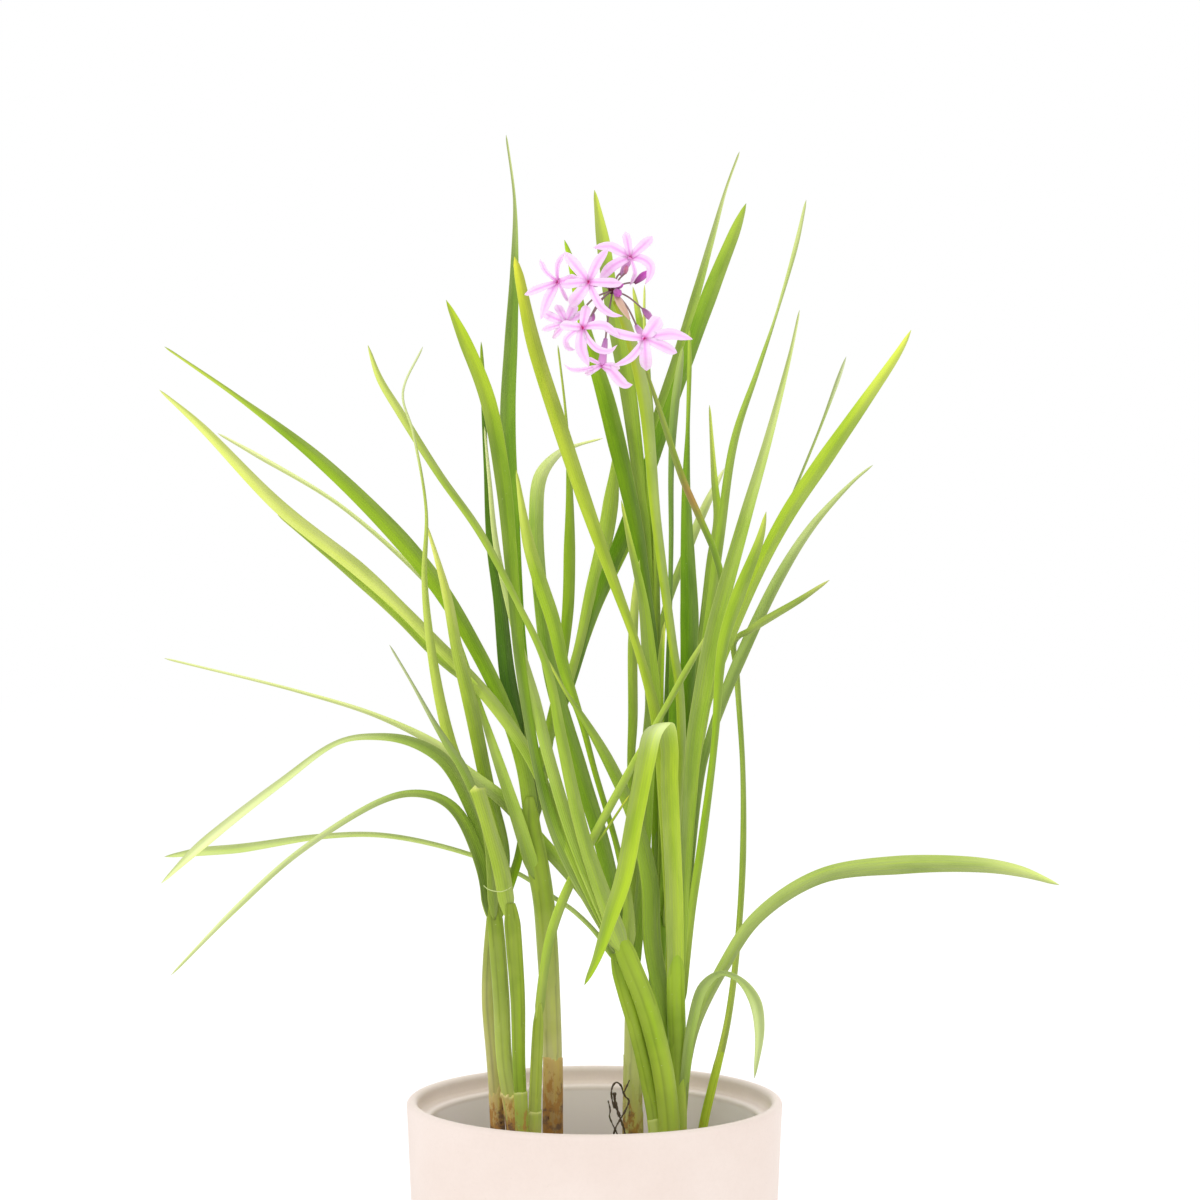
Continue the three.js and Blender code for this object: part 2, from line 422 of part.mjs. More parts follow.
// A written depth as it is after the clump fans out at that height.
function fanned(depth, up) {
  const height = THREE.MathUtils.clamp((up - FAN_FROM) / FAN_OVER, 0, 1);
  return depth * (1 + FAN_SHARE * height ** FAN_POWER);
}

// Carries a point of the front view to its depth, and scales its width alike.
function place([across, written, up, width]) {
  const depth = fanned(written, up);
  const scale = 1 + depth / -EYE.y;
  const x = EYE.x + (across - EYE.x) * scale;
  const z = EYE.z + (up - EYE.z) * scale;
  return { point: new THREE.Vector3(x, depth, z), width: (width ?? 1) * scale };
}

// Stations along a smooth route: the place, the direction and the width at each.
function stations(route, spans) {
  const placed = route.map(place);
  const curve = new THREE.CatmullRomCurve3(placed.map((entry) => entry.point), false, 'centripetal');
  return Array.from({ length: spans + 1 }, (_, step) => {
    const t = step / spans;
    const at = t * (route.length - 1);
    const first = Math.min(Math.floor(at), route.length - 2);
    const width = THREE.MathUtils.lerp(placed[first].width, placed[first + 1].width, at - first);
    return { t, point: curve.getPoint(t), tangent: curve.getTangent(t), width };
  });
}

// The direction across a blade that faces the front, or across a blade that folds over forwards.
function acrossOf(tangent, folded) {
  const across = folded
    ? new THREE.Vector3(1, 0, 0).addScaledVector(tangent, -tangent.x)
    : new THREE.Vector3(tangent.z, 0, -tangent.x);
  return across.normalize();
}

// A strap leaf: six points round each section, a thin edge at both sides and a rib in the middle.
function blade(route, turns, folded = false) {
  const spans = Math.round(SPANS_PER_POINT * (route.length - 1));
  const rings = stations(route, spans).map(({ t, point, tangent, width }) => {
    const turn = THREE.MathUtils.degToRad(THREE.MathUtils.lerp(turns[0], turns[1], t));
    const across = acrossOf(tangent, folded).applyAxisAngle(tangent, turn);
    const face = new THREE.Vector3().crossVectors(tangent, across);
    const half = Math.max(width / Math.cos(turn), EDGE_THICKNESS) / 2;
    const at = (side, out) => point.clone().addScaledVector(across, side).addScaledVector(face, out);
    const rib = CHANNEL * half;
    return [
      at(-half, EDGE_THICKNESS / 2), at(0, RIB_THICKNESS / 2 + rib), at(half, EDGE_THICKNESS / 2),
      at(half, -EDGE_THICKNESS / 2), at(0, rib - RIB_THICKNESS / 2), at(-half, -EDGE_THICKNESS / 2),
    ];
  });
  return outward(skin(rings, [3, 4]));
}

// A petal's flat strip: four points round each section.
function ribbon(route) {
  const rings = stations(route, route.length - 1).map(({ point, tangent, width }) => {
    const across = acrossOf(tangent, false);
    const face = new THREE.Vector3().crossVectors(tangent, across);
    return [[-1, 1], [1, 1], [1, -1], [-1, -1]].map(([side, out]) => point.clone()
      .addScaledVector(across, side * width / 2)
      .addScaledVector(face, out * PETAL_THICKNESS / 2));
  });
  return outward(skin(rings, [2]));
}

// A round stalk or sheath, flattened from front to back.
function stalk(route, sides, flatness, spans = route.length, grow = 0) {
  const rings = stations(route, spans).map(({ point, tangent, width }) => {
    const across = acrossOf(tangent, false);
    const face = new THREE.Vector3().crossVectors(tangent, across);
    return Array.from({ length: sides }, (_, side) => {
      const angle = (side / sides) * 2 * Math.PI;
      return point.clone()
        .addScaledVector(across, (width / 2 + grow) * Math.cos(angle))
        .addScaledVector(face, (width / 2 * flatness + grow) * Math.sin(angle));
    });
  });
  return outward(skin(rings));
}

// Turns a closed skin outward if its volume comes out negative.
function outward(geometry) {
  const position = geometry.attributes.position;
  const index = geometry.index.array;
  const corner = [0, 1, 2].map(() => new THREE.Vector3());
  let volume = 0;
  for (let start = 0; start < index.length; start += 3) {
    corner.forEach((vector, offset) => vector.fromBufferAttribute(position, index[start + offset]));
    volume += corner[0].dot(corner[1].clone().cross(corner[2]));
  }
  if (volume < 0) {
    for (let start = 0; start < index.length; start += 3) {
      [index[start], index[start + 1]] = [index[start + 1], index[start]];
    }
  }
  return geometry;
}

// Joins closed surfaces into one body. Loose scraps, left where two surfaces all but touch, are dropped.
function join(geometries) {
  const whole = geometries.map(solid).reduce((body, next) => body.add(next));
  const pieces = whole.decompose().filter((piece) => piece.volume() > SCRAP_VOLUME);
  return pieces.reduce((body, next) => body.add(next));
}

// A profile point for a turned solid.
const turned = (radius, height) => new THREE.Vector2(radius, height);

function outerRadius(height) {
  return THREE.MathUtils.lerp(BASE_RADIUS, RIM_RADIUS, height / POT_HEIGHT);
}

function innerRadius(height) {
  const share = (height - FLOOR_THICKNESS) / (POT_HEIGHT - LEDGE_DEPTH - FLOOR_THICKNESS);
  return THREE.MathUtils.lerp(FLOOR_RADIUS, THROAT_RADIUS, share);
}

// The pot: straight sides with a slight taper, a rounded lip, and a step inside below the lip.
function potGeometry() {
  const lipMiddle = RIM_RADIUS - LIP_WIDTH / 2;
  const lip = [0, 45, 90, 135, 180].map((degrees) => {
    const angle = THREE.MathUtils.degToRad(degrees);
    const height = POT_HEIGHT - LIP_ROUND + LIP_ROUND * Math.sin(angle);
    return turned(lipMiddle + (LIP_WIDTH / 2) * Math.cos(angle), height);
  });
  const profile = [
    turned(0, 0),
    turned(BASE_RADIUS - FOOT_ROUND, 0),
    turned(BASE_RADIUS - FOOT_ROUND * ROUND_SHARE, FOOT_ROUND * ROUND_SHARE),
    turned(outerRadius(FOOT_ROUND), FOOT_ROUND),
    ...lip,
    turned(RIM_RADIUS - LIP_WIDTH, POT_HEIGHT - LEDGE_TOP),
    turned(THROAT_RADIUS + LEDGE_EASE, POT_HEIGHT - LEDGE_TOP - LEDGE_EASE),
    turned(THROAT_RADIUS, POT_HEIGHT - LEDGE_DEPTH),
    turned(FLOOR_RADIUS, FLOOR_THICKNESS),
    turned(0, FLOOR_THICKNESS),
  ];
  return lathe(profile);
}

// A turned solid that stands upright along Z.
function lathe(profile) {
  return outward(indexed(new THREE.LatheGeometry(profile, POT_SIDES).rotateX(Math.PI / 2)));
}

// The same surface with its shared vertices merged and its flat slivers on the axis left out.
function indexed(geometry) {
  geometry.deleteAttribute('normal');
  geometry.deleteAttribute('uv');
  const merged = mergeVertices(geometry, 1e-4);
  const old = merged.index.array;
  const kept = [];
  for (let start = 0; start < old.length; start += 3) {
    const [a, b, c] = [old[start], old[start + 1], old[start + 2]];
    if (a !== b && b !== c && c !== a) kept.push(a, b, c);
  }
  merged.setIndex(kept);
  return merged;
}

// The soil: it fills the pot to below the rim, with a plain hole for each sheath and the flower stem.
function soilGeometry() {
  const top = POT_HEIGHT - SOIL_BELOW_RIM;
  const floor = FLOOR_THICKNESS + CLEARANCE;
  const body = solid(lathe([
    turned(0, floor),
    turned(innerRadius(floor) - CLEARANCE, floor),
    turned(innerRadius(top - SOIL_CROWN) - CLEARANCE, top - SOIL_CROWN),
    turned(THROAT_RADIUS * CROWN_REACH, top - SOIL_CROWN * CROWN_EASE),
    turned(0, top),
  ]));
  const feet = Object.values(STEMS).flatMap((stem) => stem.sheaths.map((route) => [route, STEM_FLATNESS]));
  feet.push([FLOWER_STEM, FLOWER_STEM_DEPTH / FLOWER_STEM[0][3]]);
  return geometryOf(feet.reduce((ground, [route, flatness]) => {
    const [foot, next] = route;
    const below = [foot[0], foot[1], foot[2] - CLEARANCE, foot[3]];
    return ground.subtract(solid(stalk([below, next], STEM_SIDES, flatness, 1, CLEARANCE)));
  }, body));
}

// One leafy stem: its sheaths and its leaves as one body.
function stemGeometry({ sheaths, leaves, folded }) {
  const pieces = sheaths.map((route) => stalk(route, STEM_SIDES, STEM_FLATNESS));
  pieces.push(...leaves.map(([base, tip, route]) => blade(route, [base, tip])));
  if (folded) pieces.push(blade(folded, FOLDED_TURNS, true));
  return geometryOf(join(pieces));
}

// A petal from the throat through its written points: it bows forward, then sweeps back to its tip.
function petal(throat, [width, ...points]) {
  const outline = [[throat[0], throat[2]], ...points].map(([across, up]) => new THREE.Vector3(across, 0, up));
  const curve = new THREE.CatmullRomCurve3(outline, false, 'centripetal');
  const back = Math.min(Math.sqrt(Math.max(PETAL_LENGTH ** 2 - curve.getLength() ** 2, 1)), PETAL_SWEEP_BACK);
  const depths = [PETAL_ROOT_IN, -PETAL_BOW, -PETAL_BOW / 2, back * PETAL_TURN_SHARE, back];
  const widths = [PETAL_ROOT_WIDTH, width, width, width * PETAL_TAPER, PETAL_TIP_WIDTH];
  return ribbon(PETAL_SHARES.map((share, order) => {
    const at = curve.getPointAt(share);
    return [at.x, throat[1] + depths[order], at.z, widths[order]];
  }));
}

function floretPieces({ throat, front, petals }) {
  const knob = new THREE.Vector3(...KNOB);
  const mouth = new THREE.Vector3(...throat);
  const facing = mouth.clone().sub(knob).normalize().add(new THREE.Vector3(0, -front, 0)).normalize();
  const root = mouth.clone().addScaledVector(facing, -TUBE_LENGTH);
  const bend = knob.clone().lerp(root, 0.6).add(new THREE.Vector3(0, 0, PEDICEL_BOW));
  const partWay = (share) => root.clone().lerp(mouth, share).toArray();
  const tube = [
    [...partWay(0), PEDICEL_WIDTH],
    [...partWay(0.3), TUBE_WIDTH],
    [...partWay(1), TUBE_WIDTH],
  ];
  const pedicel = [
    [...knob.toArray(), PEDICEL_WIDTH],
    [...bend.toArray(), PEDICEL_WIDTH],
    [...partWay(0.2), PEDICEL_WIDTH],
  ];
  const strips = petals.map((written) => petal(throat, written));
  return [stalk(tube, TUBE_SIDES, 1, 2), stalk(pedicel, STALK_SIDES, 1, 3), ...strips];
}

function budPieces([root, tip, width]) {
  const middle = root.map((value, axis) => (value + tip[axis]) / 2);
  const bend = root.map((value, axis) => (value + KNOB[axis]) / 2 + (axis === 2 ? BUD_BOW : 0));
  const bud = [[...root, PEDICEL_WIDTH], [...middle, width], [...tip, PETAL_TIP_WIDTH]];
  const pedicel = [KNOB, bend, middle].map((point) => [...point, PEDICEL_WIDTH]);
  return [stalk(bud, TUBE_SIDES, 1, 2), stalk(pedicel, STALK_SIDES, 1, 3)];
}

function knobOf(radius) {
  return indexed(new THREE.IcosahedronGeometry(radius, 0).translate(...place(KNOB).point.toArray()));
}

function flowerHeadGeometry() {
  return geometryOf(join([
    knobOf(KNOB_RADIUS),
    ...FLORETS.flatMap(floretPieces),
    ...BUDS.flatMap(budPieces),
    blade(BRACT, BRACT_TURNS),
  ]));
}

// The flower stem's top ends just under the knob.
function flowerStemGeometry(head) {
  const stem = solid(stalk(FLOWER_STEM, STEM_SIDES, FLOWER_STEM_DEPTH / FLOWER_STEM[7][3]));
  return geometryOf(stem.subtract(solid(knobOf(KNOB_RADIUS + CLEARANCE))).subtract(head));
}

const plant = new THREE.Group();
plant.name = 'potted_society_garlic';

function add(name, geometry, colour, roughness) {
  const mesh = new THREE.Mesh(geometry, material(colour, roughness));
  mesh.name = name;
  plant.add(mesh);
}

add('pot', potGeometry(), COLOURS.pot, 0.7);
add('potting_soil', soilGeometry(), COLOURS.potting_soil, 0.95);
for (const [name, stem] of Object.entries(STEMS)) {
  add(name, stemGeometry(stem), NODE_COLOURS[name] ?? COLOURS.leaf);
}
const headGeometry = flowerHeadGeometry();
add('flower_head', headGeometry, COLOURS.flower_head);
add('flower_stem', flowerStemGeometry(solid(headGeometry.clone())), COLOURS.flower_stem);

export default plant;
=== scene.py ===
"""Potted society garlic: leafy stems, one flower stem with its umbel, soil and a plain round pot.

Written sizes are millimetres. Meshes are made in metres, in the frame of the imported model.
"""
import itertools
import math
import random

import bmesh
import bpy
import numpy as np
from mathutils import Matrix, Vector, noise


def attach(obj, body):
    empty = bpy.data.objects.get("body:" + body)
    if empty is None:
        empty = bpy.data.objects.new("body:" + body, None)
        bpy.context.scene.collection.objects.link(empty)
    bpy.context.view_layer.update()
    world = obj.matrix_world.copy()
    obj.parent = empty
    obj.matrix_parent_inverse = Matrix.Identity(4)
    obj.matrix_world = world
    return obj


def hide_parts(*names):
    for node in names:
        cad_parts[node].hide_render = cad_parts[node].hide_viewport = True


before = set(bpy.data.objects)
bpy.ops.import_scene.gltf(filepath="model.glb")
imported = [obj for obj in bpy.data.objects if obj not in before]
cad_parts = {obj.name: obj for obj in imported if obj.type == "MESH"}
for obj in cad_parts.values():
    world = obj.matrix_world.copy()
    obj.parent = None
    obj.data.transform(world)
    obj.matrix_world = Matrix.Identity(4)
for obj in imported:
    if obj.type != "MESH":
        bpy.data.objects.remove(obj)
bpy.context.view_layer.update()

MM = 0.001
SEED = 20


def colour(red, green, blue):
    """A colour written from 0 to 255 as it looks on a screen, as linear values."""
    def linear(value):
        share = value / 255
        return share / 12.92 if share <= 0.04045 else ((share + 0.055) / 1.055) ** 2.4
    return tuple(linear(value) for value in (red, green, blue))


# Sizes of the pot and its soil
POT_HEIGHT = 106.7
RIM_RADIUS = 56.25
BASE_RADIUS = 51.3
LIP_WIDTH = 3.3
LIP_ROUND = 1.6
LIP_EASE = 0.9
LEDGE_TOP = 5.2
LEDGE_DEPTH = 6.8
LEDGE_EASE = 1.2
LEDGE_ROOT = (0.3, 0.7, 1.3)
THROAT_RADIUS = 49.2
FLOOR_RADIUS = 45.6
FLOOR_THICKNESS = 7
FOOT_ROUND = 2.5
FOOT_SPREAD = 0.12
HEEL_ROUND = 1
WALL_STEP = 6
WALL_TOP = 102
THROAT_DROP = 0.4
UNDERSIDE_RINGS = (0, 20, 40)
FLOOR_RINGS = (30, 0)
POT_SIDES = 160
SOIL_BELOW_RIM = 24
SOIL_TOP = POT_HEIGHT - SOIL_BELOW_RIM
SOIL_CROWN = 2
SOIL_RINGS = 90
SOIL_SIDES = 220
CLEARANCE = 0.35

# The soil's surface: how closely its grain and its lumps follow each other, and how high they are
GRAIN_RATE = 0.22
GRAIN_HEIGHT = 0.9
LUMP_RATE = 0.09
LUMP_HEIGHT = 2.2
SOIL_SINK = 0.8

# Crumbs on the soil. A kind is how common it is, its smallest and largest size, flatness and colour.
CRUMB_COUNT = 620
CRUMB_FIELD = 46.5
CRUMB_GAP = 0.6
CRUMB_TILT = 0.5
CRUMB_LONG = (0.8, 1.5)
CRUMB_WIDE = (0.6, 1)
CRUMB_LIFT = 0.35
CRUMB_ROUGHNESS = 0.35
CRUMB_DENTS = 1.7
CRUMB_SHADES = (0.85, 1.1)
CRUMBS = [
    (5, 0.7, 1.7, 0.5, colour(58, 42, 32)),
    (3, 0.6, 1.4, 0.7, colour(84, 60, 42)),
    (2, 1.2, 2.6, 0.35, colour(104, 74, 50)),
    (1, 0.6, 1.3, 0.8, colour(214, 208, 196)),
]

# Sizes of the leaf blades
RIB_THICKNESS = 0.9
RIM_THICKNESS = 0.32
CHANNEL = 0.1
BASE_CHANNEL = 0.25
BASE_REACH = 18
FINE_RIBS = 0.035
NARROWEST = 0.3
BLADE_SIDES = 16
BLADE_STEP = 1.6
BLADE_WOBBLE = 5
WOBBLE_RATE = 0.02
EDGE_POWER = 6
FOLDED_TURNS = (8, 8)

# How a blade narrows to its root and to its tip: reach, power and the least share of its width.
# A cut leaf keeps its width, and its end slants.
ROOT_EASE = (6, 0.6, 0.15)
TIP_EASE = (2.5, 0.5, 0.15)
CUT_EASE = (0.25, 0.5, 0.15)
CUT_SLANT = 0.6
CUT_LOOK = "stub"

# Sizes of the stems, and how a sheath flattens and narrows to its end, as for a blade
STEM_SIDES = 20
SHEATH_SIDES = 40
STEM_STEP = 1.5
STEM_FLATNESS = 0.86
SHEATH_LOBES = 0.03
FLAT_EASE = (26, 0.8, 0.05)
NARROW_EASE = (6, 0.7, 0.5)

# A wrapped leaf's edge on a stem: where round the stem, how far it stands out, how dark the painted
# shade at its foot is, how far round that line of painted shade reaches, and how the edge wanders on its way
# up
WRAP_EDGES = (4.2, 5.35)
WRAP_STEP = 0.06
WRAP_PAINTED_SHADE = 0.24
WRAP_REACH = 0.028
WRAP_DRIFT = 0.35
WRAP_WAVE = 45

# Dry sleeves at the stems' feet. Their teeth are (height, how many round the rim, share of the phase).
SLEEVE_THICKNESS = 0.14
SLEEVE_STEP = 0.5
SLEEVE_SIDES = 36
SLEEVE_ABOVE = 3
SLEEVE_FOOT = 8
SLEEVE_TEETH = [(0.6, 3, 1), (0.35, 8, 1), (0.25, 13, 0)]
RIM_SOFTNESS = 0.7
TORN_DEPTH = 0.25
SLEEVE_RIM = colour(236, 228, 168)

# Numbers that tell pieces apart in the patterns of their materials
NUMBERS_PER_STEM = 20
FLOWER_STEM_NUMBER = 300
FLORET_NUMBER = 400
BUD_NUMBER = 450
KNOB_NUMBER = 500
BRACT_NUMBER = 520
FIBRE_NUMBER = 540
STRAND_NUMBER = 560
THREAD_NUMBER = 570

# Routes are set out as they look from the front, on the upright plane through the pot's axis.
# Each point is then carried to its own depth along its line of sight from the camera.
EYE = Vector((1.65, -791, 256))

# The clump fans out from front to back with height: written depths grow by this share at the top.
FAN_FROM = 97
FAN_OVER = 300
FAN_SHARE = 0.7
FAN_POWER = 1.5

# A leaf's colours from its base to its tip, and the share of its length that the tip colour takes
LEAF_LOOKS = {
    "fresh": ((158, 176, 74), (138, 168, 32), (194, 206, 96), 0.2),
    "broad": ((150, 170, 66), (124, 156, 20), (180, 196, 78), 0.2),
    "far": ((170, 184, 76), (144, 166, 68), (204, 208, 126), 0.15),
    "bright": ((174, 194, 72), (156, 184, 42), (218, 228, 98), 0.25),
    "vivid": ((136, 160, 46), (96, 130, 2), (162, 194, 36), 0.35),
    "yellow": ((164, 182, 72), (160, 180, 52), (218, 220, 72), 0.2),
    "yellow_green": ((118, 146, 44), (146, 168, 56), (220, 224, 124), 0.4),
    "crossing": ((150, 174, 68), (154, 176, 66), (214, 222, 126), 0.58),
    "slim": ((172, 190, 88), (170, 194, 76), (202, 214, 118), 0.12),
    "light": ((158, 178, 80), (146, 170, 58), (208, 218, 120), 0.35),
    "mid": ((176, 198, 92), (112, 142, 34), (178, 200, 48), 0.3),
    "grey_green": ((140, 164, 66), (138, 164, 56), (190, 204, 86), 0.2),
    "dark": ((130, 156, 48), (104, 144, 14), (166, 188, 70), 0.3),
    "deep": ((98, 128, 42), (76, 112, 26), (140, 166, 28), 0.2),
    "grey": ((142, 166, 64), (148, 173, 60), (202, 212, 144), 0.38),
    "dull": ((116, 142, 50), (132, 154, 74), (198, 210, 142), 0.5),
    "stub": ((160, 176, 84), (148, 168, 60), (208, 214, 112), 0.12),
    "olive": ((152, 176, 62), (128, 156, 48), (142, 154, 66), 0.25),
    "flecked": ((122, 150, 58), (112, 142, 62), (162, 180, 102), 0.4),
    "arch": ((112, 138, 46), (132, 154, 58), (214, 224, 164), 0.45),
    "grey_arch": ((140, 162, 72), (152, 170, 90), (200, 212, 136), 0.25),
    "arched_top": ((130, 160, 42), (120, 152, 34), (234, 240, 168), 0.45),
    "pale_thin": ((154, 176, 76), (166, 186, 88), (222, 228, 168), 0.45),
    "pale_droop": ((146, 170, 76), (166, 188, 108), (200, 214, 150), 0.5),
    "thin_yellow": ((136, 160, 56), (158, 180, 74), (216, 224, 156), 0.5),
    "thin_grey": ((142, 166, 68), (184, 198, 124), (192, 206, 134), 0.5),
    "hair_pale": ((160, 178, 74), (180, 196, 84), (208, 216, 170), 0.35),
    "hair_grey": ((146, 164, 74), (140, 162, 70), (188, 196, 156), 0.4),
    "hair_dark": ((112, 142, 40), (106, 142, 22), (184, 194, 134), 0.25),
    "pale_hair": ((160, 176, 94), (164, 180, 104), (194, 202, 160), 0.4),
    "folded": ((158, 178, 70), (158, 180, 48), (154, 182, 40), 0.3),
}
LEAF_SHIFT = 0.05
LOW_SHARE = 0.28

# Where the tip colour comes in, back from the tip in shares of its own length, and how much of it
TIP_STEPS = [(1, 0.15), (0.7, 0.6), (0.25, 1)]

# Marks along a leaf: the share of its length where the mark is, how far it reaches, and its colour
LEAF_MARKS = {
    "olive": (0.69, 0.07, colour(162, 126, 72)),
    # The folded leaf's pale mark is a painted highlight on its bend.
    "folded": (0.46, 0.07, colour(212, 224, 164)),
    "arched_top": (0.8, 0.1, colour(206, 216, 164)),
    "stub": (0.99, 0.04, colour(216, 220, 150)),
}

# The halves of a leaf, painted as if light fell on it from one side: how much painted shade darkens one,
# how much painted sheen lies on the other, how sharp the edge between them is, and how it drifts
SIDE_SHADE = 0.22
PAINTED_SHEEN_SHARE = 0.16
HALVES_EDGE = 3
HALVES_DRIFT = 0.7
DRIFT_RATE = 0.015
LEAF_PAINTED_SHEEN = colour(196, 206, 160)

# Heights where a sheath's colours change, how far its foot has the second one, and how its stain fades
SHEATH_STOPS = (SOIL_TOP, SOIL_TOP + 14, POT_HEIGHT + 8, 165)
FOOT_MIX = 0.6
STAIN_TOP = POT_HEIGHT + 6
STAIN_FADE = 24
PLAIN_STAIN = 0.25
SLEEVE_STAIN_REACH = 14

